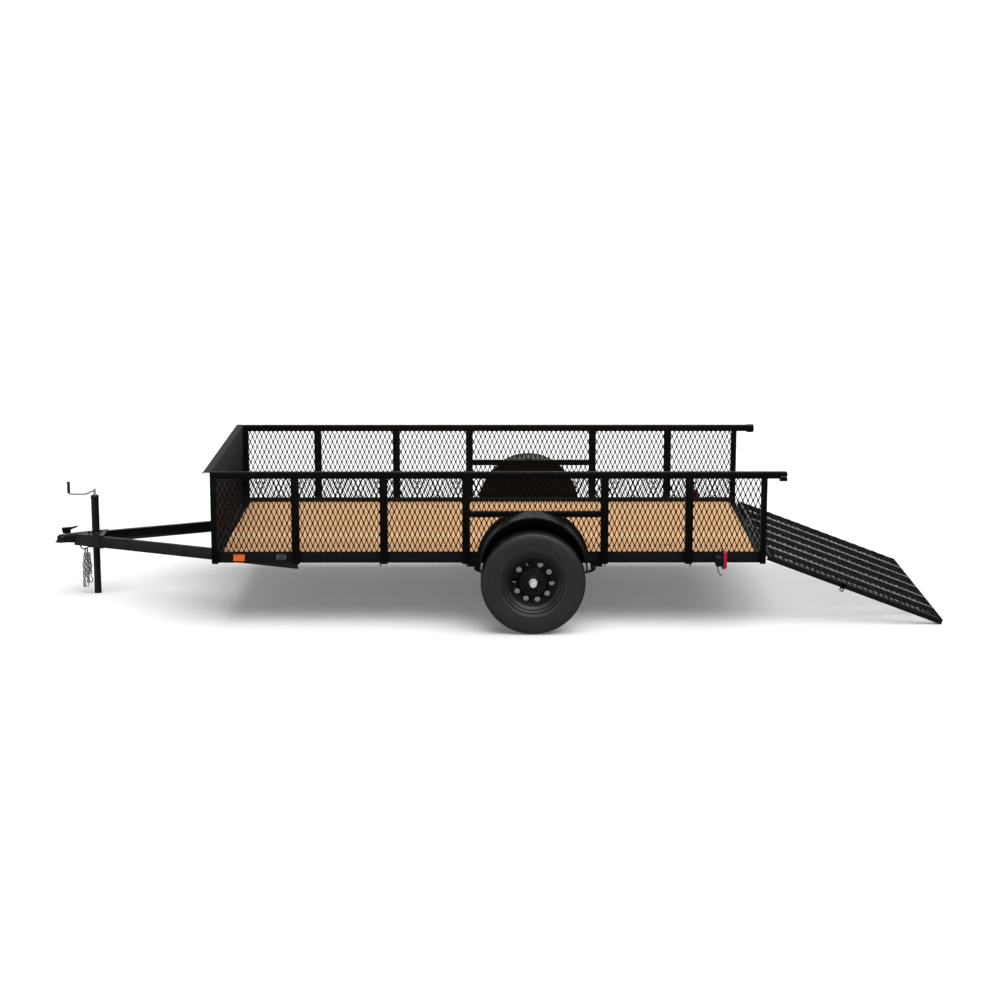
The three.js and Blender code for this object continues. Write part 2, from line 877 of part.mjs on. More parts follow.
// The hub drum behind the wheel, its bore for the spindle, and the grease cap in front.
function hub(side) {
  const back = 1000;
  const face = WHEEL_OFFSET + 45 - GAP;
  return outboard(
    [
      [0, 1224],
      [24, 1224],
      [26.5, 1220],
      [26.5, face + 6],
      [40, face + 5],
      [40, face],
      [80, face],
      [80, face - 10],
      [42, face - 14],
      [38, back],
      [SPINDLE_RADIUS + 0.5, back],
      [SPINDLE_RADIUS + 0.5, 1152],
      [0, 1152],
    ],
    side,
    20,
  );
}

function fender(side) {
  const inner = FENDER_RADIUS - SHEET;
  const arch = (outerRadius, innerRadius) => {
    const shape = new THREE.Shape();
    shape.absarc(
      WHEEL_STATION,
      FENDER_CENTRE,
      outerRadius,
      0,
      Math.PI,
      false,
    );
    shape.absarc(WHEEL_STATION, FENDER_CENTRE, innerRadius, Math.PI, 0, true);
    return shape;
  };
  const plateIn = HALF_WIDTH - SHEET;
  const barrelIn = HALF_WIDTH + GAP;
  const plateTop = MID_RAIL_TOP - MID_RAIL - GAP;
  const half = Math.sqrt(
    BACKPLATE_RADIUS ** 2 - (plateTop - FENDER_CENTRE) ** 2,
  );
  const corner = Math.asin((plateTop - FENDER_CENTRE) / BACKPLATE_RADIUS);
  const plate = new THREE.Shape();
  plate.moveTo(WHEEL_STATION - half, plateTop);
  plate.absarc(
    WHEEL_STATION,
    FENDER_CENTRE,
    BACKPLATE_RADIUS,
    Math.PI - corner,
    Math.PI,
    false,
  );
  plate.absarc(WHEEL_STATION, FENDER_CENTRE, BACKPLATE_RADIUS, 0, corner, false);
  return join(
    alongY(arch(FENDER_RADIUS, inner), side * barrelIn, side * FENDER_OUT, 14),
    alongY(
      arch(FENDER_RADIUS + 5, inner - 4),
      side * (FENDER_OUT - 6),
      side * FENDER_OUT,
      14,
    ),
    alongY(
      arch(FENDER_RADIUS, inner - 30),
      side * barrelIn,
      side * (barrelIn + SHEET),
      14,
    ),
    alongY(plate, side * plateIn, side * (barrelIn + 1), 10),
  );
}

// ---- Lamps and latches ----
const MARKER_STATIONS = [134, 215];
const MARKER_HEIGHTS = [441, 488];
const MARKER_DEPTH = 24;
const TAIL_LAMP_STATION = 3361;
const TAIL_LAMP_DEPTH = 31;
const TAIL_LAMP_IN = HALF_WIDTH + 2;
const TAIL_LAMP_OUT = HALF_WIDTH + 112;
const TAIL_LAMP_HEIGHTS = [414, 537];
const HOUSING_DEPTH = 42;
const HOUSING_HEIGHTS = [433, 492];

const markerLight = (side) =>
  block(
    ...MARKER_STATIONS,
    side * (RAIL_OUT + GAP),
    side * (RAIL_OUT + MARKER_DEPTH),
    ...MARKER_HEIGHTS,
  );

const tailLamp = (side) =>
  block(
    TAIL_LAMP_STATION,
    TAIL_LAMP_STATION + TAIL_LAMP_DEPTH,
    side * TAIL_LAMP_IN,
    side * TAIL_LAMP_OUT,
    ...TAIL_LAMP_HEIGHTS,
  );

// The lamp's dark housing, on an arm that reaches out from the side rail.
function lampHousing(side) {
  const armFront = TAIL_LAMP_STATION - 30;
  const [low, high] = HOUSING_HEIGHTS;
  return join(
    block(
      TAIL_LAMP_STATION - HOUSING_DEPTH,
      TAIL_LAMP_STATION - GAP,
      side * (TAIL_LAMP_IN + 6),
      side * (TAIL_LAMP_OUT - 6),
      low,
      high,
    ),
    block(
      armFront,
      armFront + STEEL,
      side * (RAIL_OUT + GAP),
      side * (TAIL_LAMP_IN + 18),
      low + 3,
      high - 4,
    ),
  );
}

// The sleeve on the end of the top rail that holds the ramp's lug upright.
const LATCH_SLEEVE = { length: 51, height: 58, out: 12 };

function rampLatch(side) {
  const rear = BED_LENGTH + TOP_RAIL_STUB;
  return block(
    rear - LATCH_SLEEVE.length,
    rear,
    side * (HALF_WIDTH + GAP),
    side * (HALF_WIDTH + LATCH_SLEEVE.out),
    TOP_RAIL_TOP - LATCH_SLEEVE.height,
    TOP_RAIL_TOP,
  );
}

// ---- Ramp, drawn flat along +X from its hinge axis and then laid at its slope ----
const ramp = new THREE.Group();
ramp.position.set(HINGE_STATION, 0, HINGE_HEIGHT);
ramp.rotation.y = RAMP_SLOPE;
stations.add(ramp);
const HINGE_OFFSET = 620;
const HINGE_PIN = 8;
const KNUCKLE = 13;
const KNUCKLE_HALF = 30;
const RAMP_START = -3;
const LUG_STATIONS = [528, 558]; // from the hinge axis to the lug that the latch catches
const LUG_DROP = 26;

function rampFrame() {
  const top = RAMP_BAR_TOP;
  const bar = (y, width, x0 = RAMP_START) =>
    block(x0, RAMP_LENGTH, y - width / 2, y + width / 2, -RAMP_UNDER, top);
  const rail = RAMP_HALF - RAMP_BAR / 2;
  const pitch = (2 * rail) / (RAMP_RIBS + 1);
  const cross = (x0, x1) =>
    block(x0, x1, -RAMP_HALF + 1, RAMP_HALF - 1, -RAMP_UNDER, top);
  const crossStart = KNUCKLE + 5;
  const pieces = [
    bar(-rail, RAMP_BAR),
    bar(rail, RAMP_BAR),
    cross(crossStart, crossStart + RAMP_BAR),
    cross(RAMP_LENGTH - RAMP_BAR, RAMP_LENGTH),
  ];
  for (let i = 1; i <= RAMP_RIBS; i++)
    pieces.push(bar(-rail + i * pitch, 5, crossStart + 1));
  for (const [, side] of SIDES) {
    const y0 = side * (HINGE_OFFSET - KNUCKLE_HALF);
    const y1 = side * (HINGE_OFFSET + KNUCKLE_HALF);
    const barrel = new THREE.Shape();
    barrel.absarc(0, 0, KNUCKLE, 0, 2 * Math.PI, false);
    pieces.push(alongY(barrel, y0, y1, 10));
    pieces.push(block(0, crossStart + 1, y0, y1, -KNUCKLE, -KNUCKLE + 6));
    pieces.push(
      block(
        ...LUG_STATIONS,
        side * RAMP_HALF,
        side * (RAMP_HALF - 5),
        -RAMP_UNDER - LUG_DROP,
        0,
      ),
    );
  }
  const bore = new THREE.Shape();
  bore.absarc(0, 0, HINGE_PIN + 0.5, 0, 2 * Math.PI, false);
  return cut(join(...pieces), alongY(bore, -RAMP_HALF, RAMP_HALF, 10));
}

const rampMesh = () =>
  block(
    KNUCKLE + 6,
    RAMP_LENGTH - 2,
    -RAMP_HALF + 6,
    RAMP_HALF - 6,
    RAMP_OVER - SHEET,
    RAMP_OVER,
  );

// The pin and its two lugs, welded to the sill.
function rampHinge(side) {
  const shape = new THREE.Shape();
  shape.absarc(0, 0, HINGE_PIN, 0, 2 * Math.PI, false);
  const reach = KNUCKLE_HALF + 12;
  const pin = alongY(
    shape,
    side * (HINGE_OFFSET - reach),
    side * (HINGE_OFFSET + reach),
    8,
  ).translate(HINGE_STATION, 0, HINGE_HEIGHT);
  const lug = (y) =>
    alongY(
      [
        [BED_LENGTH + GAP, 446],
        [HINGE_STATION + 4, HINGE_HEIGHT - 12],
        [HINGE_STATION + 10, HINGE_HEIGHT],
        [HINGE_STATION + 4, HINGE_HEIGHT + 12],
        [BED_LENGTH + GAP, HINGE_HEIGHT + 6],
      ],
      y - 4,
      y + 4,
    );
  return join(
    pin,
    lug(side * (HINGE_OFFSET - KNUCKLE_HALF - 8)),
    lug(side * (HINGE_OFFSET + KNUCKLE_HALF + 8)),
  );
}

// ---- Assembly ----
place("front_rail", frontRail(), BLACK_PAINT);
place("rear_rail", rearRail(), BLACK_PAINT);
CROSSMEMBER_STATIONS.forEach((station, i) =>
  place(`crossmember_${i + 1}`, crossmember(station), BLACK_PAINT),
);
place("deck_boards", deck(), PINE);
place("front_wall", frontWall(), PANEL_PAINT);
place("coupler", coupler(), BLACK_PAINT);
place("coupler_head", couplerHead(), BLACK_PAINT);
place("coupler_latch", couplerLatch(), BLACK_PAINT);
place("chain_loop", chainLoop(), BLACK_PAINT);
place("jack_plate_top", jackPlate(TONGUE_TOP + GAP), BLACK_PAINT);
place(
  "jack_plate_bottom",
  jackPlate(TONGUE_BOTTOM - GAP - JACK_PLATE),
  BLACK_PAINT,
);
place("jack_tube", jackTube(), BLACK_PAINT);
place("jack_leg", jackLeg(), BLACK_PAINT);
place("jack_crank", jackCrank(), ZINC);
place("jack_grip", jackGrip(), GRIP_PLASTIC);
place("axle_beam", axleBeam(), BLACK_PAINT);
place("ramp_frame", rampFrame(), BLACK_PAINT, ramp);
place("ramp_mesh", rampMesh(), BLACK_PAINT, ramp);

for (const [word, side] of SIDES) {
  place(`side_rail_${word}`, sideRail(side), BLACK_PAINT);
  place(`side_frame_${word}`, sideFrame(side), BLACK_PAINT);
  place(`side_mesh_${word}`, sideMesh(side), BLACK_PAINT);
  place(`tongue_${word}`, tongueChannel(side), BLACK_PAINT);
  place(`safety_chain_${word}`, safetyChain(side), ZINC);
  place(`leaf_spring_${word}`, leafSpring(side), BLACK_PAINT);
  place(
    `front_hanger_${word}`,
    springHanger(side, SPRING_FRONT_EYE, 1),
    BLACK_PAINT,
  );
  place(
    `rear_hanger_${word}`,
    springHanger(side, SPRING_REAR_EYE, -1),
    BLACK_PAINT,
  );
  place(`fender_${word}`, fender(side), BLACK_PAINT);
  place(`marker_light_${word}`, markerLight(side), AMBER_LENS);
  place(`tail_lamp_${word}`, tailLamp(side), RED_LENS);
  place(`lamp_housing_${word}`, lampHousing(side), GRIP_PLASTIC);
  place(`ramp_latch_${word}`, rampLatch(side), BLACK_PAINT);
  place(`ramp_hinge_${word}`, rampHinge(side), BLACK_PAINT);

  const wheel = new THREE.Group();
  wheel.position.set(WHEEL_STATION, 0, AXLE_HEIGHT);
  stations.add(wheel);
  place(`tyre_${word}`, tyre(side), RUBBER, wheel);
  place(`wheel_rim_${word}`, wheelRim(side), WHEEL_PAINT, wheel);
  place(`hub_${word}`, hub(side), ZINC, wheel);
}

export default trailer;
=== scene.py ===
# %% [markdown]
# # A utility trailer, piece by piece
#
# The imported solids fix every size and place. Each step below makes one group of pieces at those places,
# with the rolled corners, welds, bolts and finishes that the plain solids leave out. Lengths are in
# millimetres until a piece is finished, and then the piece is scaled to metres.

# %% Load the frame
import json
import math

import bmesh
import bpy
from mathutils import Matrix, Vector


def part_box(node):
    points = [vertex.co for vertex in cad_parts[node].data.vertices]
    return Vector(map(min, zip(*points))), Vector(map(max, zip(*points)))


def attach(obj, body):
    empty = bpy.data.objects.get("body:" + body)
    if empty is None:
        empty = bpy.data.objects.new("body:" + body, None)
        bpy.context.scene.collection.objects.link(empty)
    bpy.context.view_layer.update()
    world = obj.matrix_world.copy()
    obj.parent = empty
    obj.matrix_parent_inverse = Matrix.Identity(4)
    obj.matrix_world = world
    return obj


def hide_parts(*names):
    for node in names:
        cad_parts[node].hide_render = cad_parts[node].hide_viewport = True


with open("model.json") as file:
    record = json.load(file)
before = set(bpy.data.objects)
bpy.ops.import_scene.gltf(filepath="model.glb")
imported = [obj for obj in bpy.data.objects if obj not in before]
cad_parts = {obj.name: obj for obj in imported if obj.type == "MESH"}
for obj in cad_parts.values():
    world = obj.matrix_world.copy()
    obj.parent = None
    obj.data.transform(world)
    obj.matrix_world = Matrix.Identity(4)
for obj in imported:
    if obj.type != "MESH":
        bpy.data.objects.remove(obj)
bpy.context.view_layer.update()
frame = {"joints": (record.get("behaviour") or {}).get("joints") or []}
MM = 0.001
GAP = 0.3  # solids that touch are kept this far apart
SIDES = (("left", -1), ("right", 1))


def extent(node):
    """Lowest and highest corner of a solid, in millimetres."""
    low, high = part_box(node)
    return low / MM, high / MM


# %% [markdown]
# ## Camera
# The trailer is seen square on from its left, from a little above. A long lens from fifteen metres keeps
# the near and far sides almost the same size, which is how a side portrait of a long vehicle is usually
# taken.

# %% Camera
CAMERA_PLACE = (0.0564, -15.2125, 3.6736)
CAMERA_DOWN = 11.184
CAMERA_TOWARDS_TAIL = 0.109
LENS = 79.5

camera_data = bpy.data.cameras.new("camera")
camera_data.lens = LENS
camera_data.sensor_width = 36
camera = bpy.data.objects.new("camera", camera_data)
camera.location = CAMERA_PLACE
camera.rotation_euler = (math.radians(90 - CAMERA_DOWN), 0, -math.radians(CAMERA_TOWARDS_TAIL))
bpy.context.scene.collection.objects.link(camera)
bpy.context.scene.camera = camera
print("camera at", [round(c, 2) for c in camera.location])

# %% [markdown]
# ## Colours and nodes
# Paint and timber are named by the sRGB colour that the eye sees, and shaders want linear light, so one
# function turns hex into linear. One more adds a node with its settings and its links.


# %% Helpers for materials
def tint(code):
    """An sRGB hex colour as linear red, green, blue and alpha."""
    def linear(share):
        return share / 12.92 if share <= 0.04045 else ((share + 0.055) / 1.055) ** 2.4

    return tuple(linear(int(code[i:i + 2], 16) / 255) for i in (1, 3, 5)) + (1.0,)


def add_node(tree, kind, sockets=None, **settings):
    """Adds one node; sockets maps a socket to a value, or to the output that feeds it."""
    made = tree.nodes.new(kind)
    for name, value in settings.items():
        setattr(made, name, value)
    for socket, value in (sockets or {}).items():
        if isinstance(value, bpy.types.NodeSocket):
            tree.links.new(value, made.inputs[socket])
        else:
            made.inputs[socket].default_value = value
    return made


def start_material(name, **sockets):
    """A material with its shader's constant sockets set, and the object's own coordinates."""
    made = bpy.data.materials.new(name)
    made.use_nodes = True
    tree = made.node_tree
    shader = tree.nodes["Principled BSDF"]
    for socket, value in sockets.items():
        shader.inputs[socket.replace("_", " ")].default_value = value
    place = add_node(tree, "ShaderNodeTexCoord").outputs["Object"]
    return made, tree, shader, place


def per_metre(size_mm):
    """The scale of a pattern whose blobs are about this large."""
    return 1 / (size_mm * MM)


MIX_FACTOR, MIX_A, MIX_B, MIX_RESULT = 0, 6, 7, 2  # the colour sockets of a Mix node

# %% [markdown]
# ## Powder coat
# The frame is steel with a black powder coat: a polyester powder baked to a semi-gloss skin. It flows
# into a faint orange peel about 2 mm across, and its gloss wanders a little from bar to bar. Plain black
# would look like a hole in the picture, so the colour drifts between two near blacks and the roughness
# drifts with it.


# %% Painted steel
def painted_steel(name, dark, light, rough, peel_mm=2.5, peel=0.12, specular=0.3):
    made, tree, shader, place = start_material(name, Specular_IOR_Level=specular)
    broad = add_node(
        tree, "ShaderNodeTexNoise", {"Vector": place, "Scale": per_metre(260), "Detail": 2.0}
    ).outputs[0]
    colour = add_node(
        tree,
        "ShaderNodeMix",
        {MIX_FACTOR: broad, MIX_A: tint(dark), MIX_B: tint(light)},
        data_type="RGBA",
    )
    tree.links.new(colour.outputs[MIX_RESULT], shader.inputs["Base Color"])
    smear = add_node(
        tree, "ShaderNodeTexNoise", {"Vector": place, "Scale": per_metre(90), "Detail": 4.0}
    ).outputs[0]
    gloss = add_node(
        tree,
        "ShaderNodeMapRange",
        {"Value": smear, "From Min": 0.3, "From Max": 0.7, "To Min": rough[0], "To Max": rough[1]},
    )
    tree.links.new(gloss.outputs[0], shader.inputs["Roughness"])
    grain = add_node(
        tree, "ShaderNodeTexNoise", {"Vector": place, "Scale": per_metre(peel_mm), "Detail": 2.0}
    ).outputs[0]
    relief = add_node(tree, "ShaderNodeBump", {"Height": grain, "Strength": peel, "Distance": 0.4 * MM})
    tree.links.new(relief.outputs[0], shader.inputs["Normal"])
    return made


POWDER_COAT = painted_steel("powder_coat_black", "#0b0b0b", "#141313", (0.36, 0.5))
FRAME_COAT = painted_steel("powder_coat_deep_black", "#050404", "#0b0908", (0.45, 0.6), specular=0.13)
EDGE_COAT = painted_steel(
    "powder_coat_gloss_black", "#161515", "#201f1f", (0.24, 0.3), peel=0.01, specular=0.7
)
# Painted light: the rim barrel is a lighter grey than the black wheel disc, standing in for the light that
# falls on it.
RIM_PAINTED_LIGHT = painted_steel("wheel_rim_painted_lit_grey", "#1c1c1c", "#252525", (0.4, 0.5), specular=0.5)
MESH_PAINT = painted_steel("dipped_paint_black", "#080706", "#100d0b", (0.6, 0.75), peel_mm=5, specular=0.1)
WALL_PAINT = painted_steel("satin_paint_charcoal", "#060607", "#0a0a0b", (0.6, 0.7), specular=0.04)
# Painted highlight: a pale grey used for the glint along the tops of the ramp ribs.
RIB_HIGHLIGHT_PAINT = painted_steel("paint_rib_highlight_grey", "#6c6c6e", "#88888a", (0.35, 0.45), specular=0.5)
WHEEL_ENAMEL = painted_steel(
    "wheel_enamel_black", "#0c0c0c", "#121212", (0.28, 0.38), peel=0.05, specular=0.5
)
SPRING_PAINT = painted_steel("spring_paint_black", "#0c0b0a", "#191512", (0.5, 0.66), peel_mm=6, peel=0.25)
print("materials:", len(bpy.data.materials))

# %% [markdown]
# ## Pine boards
# The deck is 2 x 6 in pine, pressure treated and sawn. Growth rings cut lengthways give long streaks, so
# noise is stretched along the board; each board comes from another log, so its tone and its streaks are
# shifted by its own number, found from where it lies across the trailer. A few knots darken the streaks.

# %% Sawn pine
BOARD_COUNT = 13
deck_low, deck_high = extent("deck_boards")
BOARD_PITCH = (deck_high.y - deck_low.y) / BOARD_COUNT


def sawn_pine():
    made, tree, shader, place = start_material("pine_sawn_treated", Specular_IOR_Level=0.3)
    split = add_node(tree, "ShaderNodeSeparateXYZ", {0: place})
    across = add_node(
        tree, "ShaderNodeMath", {0: split.outputs["Y"], 1: -deck_low.y * MM}, operation="ADD"
    )
    count = add_node(
        tree, "ShaderNodeMath", {0: across.outputs[0], 1: BOARD_PITCH * MM}, operation="DIVIDE"
    )
    number = add_node(tree, "ShaderNodeMath", {0: count.outputs[0]}, operation="FLOOR")
    log = add_node(tree, "ShaderNodeTexWhiteNoise", {"W": number.outputs[0]}, noise_dimensions="1D")
    shift = add_node(tree, "ShaderNodeMath", {0: log.outputs["Value"], 1: 40.0}, operation="MULTIPLY")
    along = add_node(tree, "ShaderNodeMath", {0: split.outputs["X"], 1: shift.outputs[0]}, operation="ADD")
    moved = add_node(
        tree,
        "ShaderNodeCombineXYZ",
        {"X": along.outputs[0], "Y": split.outputs["Y"], "Z": split.outputs["Z"]},
    )
    drawn = add_node(
        tree, "ShaderNodeMapping", {"Vector": moved.outputs[0], "Scale": (1.0, 16.0, 16.0)}
    )
    streaks = add_node(
        tree,
        "ShaderNodeTexNoise",
        {"Vector": drawn.outputs[0], "Scale": 6.0, "Detail": 6.0, "Distortion": 0.6},
    )
    rings = add_node(
        tree,
        "ShaderNodeMix",
        {MIX_FACTOR: streaks.outputs[0], MIX_A: tint("#e1b88a"), MIX_B: tint("#b98350")},
        data_type="RGBA",
    )
    toned = add_node(
        tree,
        "ShaderNodeMix",
        {MIX_FACTOR: log.outputs["Value"], MIX_A: tint("#eac294"), MIX_B: tint("#d19d6c")},
        data_type="RGBA",
    )
    wood = add_node(
        tree,
        "ShaderNodeMix",
        {MIX_FACTOR: 0.5, MIX_A: rings.outputs[MIX_RESULT], MIX_B: toned.outputs[MIX_RESULT]},
        data_type="RGBA",
    )
    spread = add_node(
        tree, "ShaderNodeMapping", {"Vector": moved.outputs[0], "Scale": (1.6, 6.0, 6.0)}
    )
    knots = add_node(tree, "ShaderNodeTexVoronoi", {"Vector": spread.outputs[0], "Scale": 1.0})
    knot = add_node(
        tree,
        "ShaderNodeMapRange",
        {"Value": knots.outputs["Distance"], "From Min": 0.05, "From Max": 0.1,
         "To Min": 0.75, "To Max": 0.0},
    )
    knotted = add_node(
        tree,
        "ShaderNodeMix",
        {MIX_FACTOR: knot.outputs[0], MIX_A: wood.outputs[MIX_RESULT], MIX_B: tint("#6b3f20")},
        data_type="RGBA",
    )
    # Painted shade: the underside of each board is turned a neutral grey, darker than the wood, which also
    # keeps the light bounced onto the floor grey.
    under = add_node(
        tree,
        "ShaderNodeMapRange",
        {"Value": split.outputs["Z"], "From Min": (deck_low.z + 2) * MM, "From Max": (deck_low.z + 12) * MM,
         "To Min": 1.0, "To Max": 0.0},
    )
    shaded_underside = add_node(
        tree,
        "ShaderNodeMix",
        {MIX_FACTOR: under.outputs[0], MIX_A: knotted.outputs[MIX_RESULT], MIX_B: tint("#9d9b96")},
        data_type="RGBA",
    )
    tree.links.new(shaded_underside.outputs[MIX_RESULT], shader.inputs["Base Color"])
    dry = add_node(
        tree, "ShaderNodeMapRange", {"Value": streaks.outputs[0], "To Min": 0.6, "To Max": 0.85}
    )
    tree.links.new(dry.outputs[0], shader.inputs["Roughness"])
    saw = add_node(
        tree, "ShaderNodeBump", {"Height": streaks.outputs[0], "Strength": 0.35, "Distance": 0.8 * MM}
    )
    tree.links.new(saw.outputs[0], shader.inputs["Normal"])
    return made


PINE = sawn_pine()
print("pine: boards", round(BOARD_PITCH, 1), "mm apart")

# %% [markdown]
# ## Rubber, plastic and bare metal
# Tyre rubber is carbon black in a matt skin that bloom turns a little grey. The crank grip is moulded
# black vinyl. Zinc plate dulls to a cloudy grey outdoors. The lens plastics are clear acrylic dyed
# through, so they get a smooth coat and a colour that is strong, not dark.


# %% Tyre rubber
def mottled(name, dark, light, blob_mm, rough, relief_mm, strength, **sockets):
    """A surface whose colour and roughness drift over blobs of one size, with a fine grain in relief."""
    made, tree, shader, place = start_material(name, **sockets)
    drift = add_node(
        tree, "ShaderNodeTexNoise", {"Vector": place, "Scale": per_metre(blob_mm), "Detail": 5.0}
    ).outputs[0]
    colour = add_node(
        tree,
        "ShaderNodeMix",
        {MIX_FACTOR: drift, MIX_A: tint(dark), MIX_B: tint(light)},
        data_type="RGBA",
    )
    tree.links.new(colour.outputs[MIX_RESULT], shader.inputs["Base Color"])
    spread = add_node(
        tree,
        "ShaderNodeMapRange",
        {"Value": drift, "From Min": 0.3, "From Max": 0.7, "To Min": rough[0], "To Max": rough[1]},
    )
    tree.links.new(spread.outputs[0], shader.inputs["Roughness"])
    grain = add_node(
        tree, "ShaderNodeTexNoise", {"Vector": place, "Scale": per_metre(relief_mm), "Detail": 2.0}
    ).outputs[0]
    relief = add_node(tree, "ShaderNodeBump", {"Height": grain, "Strength": strength, "Distance": 0.3 * MM})
    tree.links.new(relief.outputs[0], shader.inputs["Normal"])
    return made


RUBBER = mottled("tyre_rubber", "#212121", "#2d2c2b", 60, (0.45, 0.58), 1.5, 0.3, Specular_IOR_Level=0.45)
VINYL = mottled("grip_vinyl_black", "#0b0b0b", "#141414", 12, (0.5, 0.62), 1.2, 0.25)
ZINC_DULL = mottled("zinc_plate_dull", "#8b8c8e", "#a8a9aa", 10, (0.4, 0.55), 2, 0.2, Metallic=0.5)
BOLT_STEEL = mottled("bolt_steel_dark", "#3a3a3b", "#55524e", 8, (0.35, 0.5), 1.5, 0.2, Metallic=1.0)
CAP_STEEL = mottled("grease_cap_plated", "#d2d2d2", "#e2e2e2", 20, (0.3, 0.4), 3, 0.05, Metallic=0.25)
AMBER = mottled(
    "lens_acrylic_amber", "#d8590a", "#e66a12", 9, (0.12, 0.2), 3, 0.1,
    Coat_Weight=0.6, Subsurface_Weight=0.2, Subsurface_Scale=0.01,
)
RED = mottled(
    "lens_acrylic_red", "#8e1230", "#a81a3a", 9, (0.12, 0.2), 3, 0.1,
    Coat_Weight=0.6, Subsurface_Weight=0.15, Subsurface_Scale=0.01,
)
PLATE_FOIL = mottled("anodised_plate_dark", "#3c3d40", "#4a4b4e", 15, (0.4, 0.5), 2, 0.1, Metallic=0.3)
print("materials:", len(bpy.data.materials))

# %% [markdown]
# ## Ways to make a shape
# Steel stock comes as sections: a flat outline run along a line. So most pieces start as an outline with
# rounded corners that is extruded. Turned pieces are profiles spun round an axis, and bent rod is a ring
# that follows a path. Every helper returns a fresh mesh, and `put` copies it into a piece wherever it
# repeats.


# %% Helpers for shapes
def rounded(corners, steps=3):
    """An outline whose corners (x, y, radius) are turned into arcs."""
    outline = []
    for i, (x, y, radius) in enumerate(corners):
        here = Vector((x, y))
        if radius <= 0:
            outline.append(here)
            continue
        before = Vector(corners[i - 1][:2]) - here
        after = Vector(corners[(i + 1) % len(corners)][:2]) - here
        half = before.angle(after) / 2
        reach = radius / math.tan(half)
        start = here + before.normalized() * reach
        end = here + after.normalized() * reach
        centre = here + (before.normalized() + after.normalized()).normalized() * (radius / math.sin(half))
        for k in range(steps + 1):
            share = k / steps
            spoke = (start - centre).lerp(end - centre, share).normalized() * radius
            outline.append(centre + spoke)
    return outline


def run_bar(outline, length):
    """An outline in X and Y, extruded up Z."""
    part = bmesh.new()
    face = part.faces.new([part.verts.new((u, v, 0)) for u, v in outline])
    grown = bmesh.ops.extrude_face_region(part, geom=[face])["geom"]
    top = [g for g in grown if isinstance(g, bmesh.types.BMVert)]
    bmesh.ops.translate(part, vec=(0, 0, length), verts=top)
    return part


def solid_block(low, high, radius=1.5, steps=2):
    """A block between two corners with its edges eased."""
    part = bmesh.new()
    bmesh.ops.create_cube(part, size=1)
    low, high = Vector(low), Vector(high)
    size = Vector([abs(a) for a in high - low])
    bmesh.ops.scale(part, vec=size, verts=part.verts)
    bmesh.ops.translate(part, vec=(low + high) / 2, verts=part.verts)
    if radius > 0:
        bmesh.ops.bevel(
            part, geom=part.edges[:], offset=radius, segments=steps, profile=0.5, affect="EDGES", material=-1
        )
    return part


def spun(profile, steps=48, turn=2 * math.pi):
    """A profile of (radius, height) spun about Z."""
    part = bmesh.new()
    verts = [part.verts.new((r, 0, z)) for r, z in profile]
    loop = list(zip(verts, verts[1:]))
    if profile[0][0] > 0 or profile[-1][0] > 0:
        loop.append((verts[-1], verts[0]))
    edges = [part.edges.new(pair) for pair in loop]
    bmesh.ops.spin(
        part, geom=verts + edges, cent=(0, 0, 0), axis=(0, 0, 1), angle=turn, steps=steps,
        use_merge=turn == 2 * math.pi,  # a part turn must not be joined back to its start
    )
    bmesh.ops.remove_doubles(part, verts=part.verts, dist=1e-4)
    return part


def bent_rod(points, radius, sides=8, closed=False, swell=None):
    """Round bar that follows points; swell gives a factor on the radius at each point."""
    part = bmesh.new()
    path = [Vector(p) for p in points]
    last = len(path) - 1
    rings = []
    for i, here in enumerate(path):
        before = path[i - 1] if i or closed else here
        after = path[(i + 1) % len(path)] if i < last or closed else here
        turn = (after - before).to_track_quat("Z", "Y").to_matrix().to_4x4()
        size = radius * (swell[i] if swell else 1)
        ring = bmesh.ops.create_circle(
            part, cap_ends=False, radius=size, segments=sides, matrix=Matrix.Translation(here) @ turn
        )["verts"]
        rings.append(sorted({e for v in ring for e in v.link_edges}, key=lambda e: e.index))
    pairs = list(zip(rings, rings[1:]))
    if closed:
        pairs.append((rings[-1], rings[0]))
    for one, other in pairs:
        bmesh.ops.bridge_loops(part, edges=one + other)
    if not closed:
        bmesh.ops.holes_fill(part, edges=[e for e in part.edges if e.is_boundary])
    return part


def put(piece, part, *places):
    """Copies a part into a piece at each place, and throws the part away."""
    stencil = bpy.data.meshes.new("stencil")
    part.to_mesh(stencil)
    part.free()
    for place in places or (Matrix(),):
        copy = stencil.copy()
        copy.transform(place)
        piece.from_mesh(copy)
        bpy.data.meshes.remove(copy)
    bpy.data.meshes.remove(stencil)


def move(x=0.0, y=0.0, z=0.0):
    return Matrix.Translation((x, y, z))


def turn_about(axis, degrees):
    return Matrix.Rotation(math.radians(degrees), 4, axis)


RUN_X = Matrix(((0, 0, 1, 0), (1, 0, 0, 0), (0, 1, 0, 0), (0, 0, 0, 1)))  # outline in Y and Z, run along X
RUN_Y = Matrix(((1, 0, 0, 0), (0, 0, 1, 0), (0, 1, 0, 0), (0, 0, 0, 1)))  # outline in X and Z, run along Y
FLIP_Y = Matrix.Scale(-1, 4, (0, 1, 0))


def across(side):
    """The right side is drawn first; the left is its mirror image."""
    return Matrix() if side > 0 else FLIP_Y


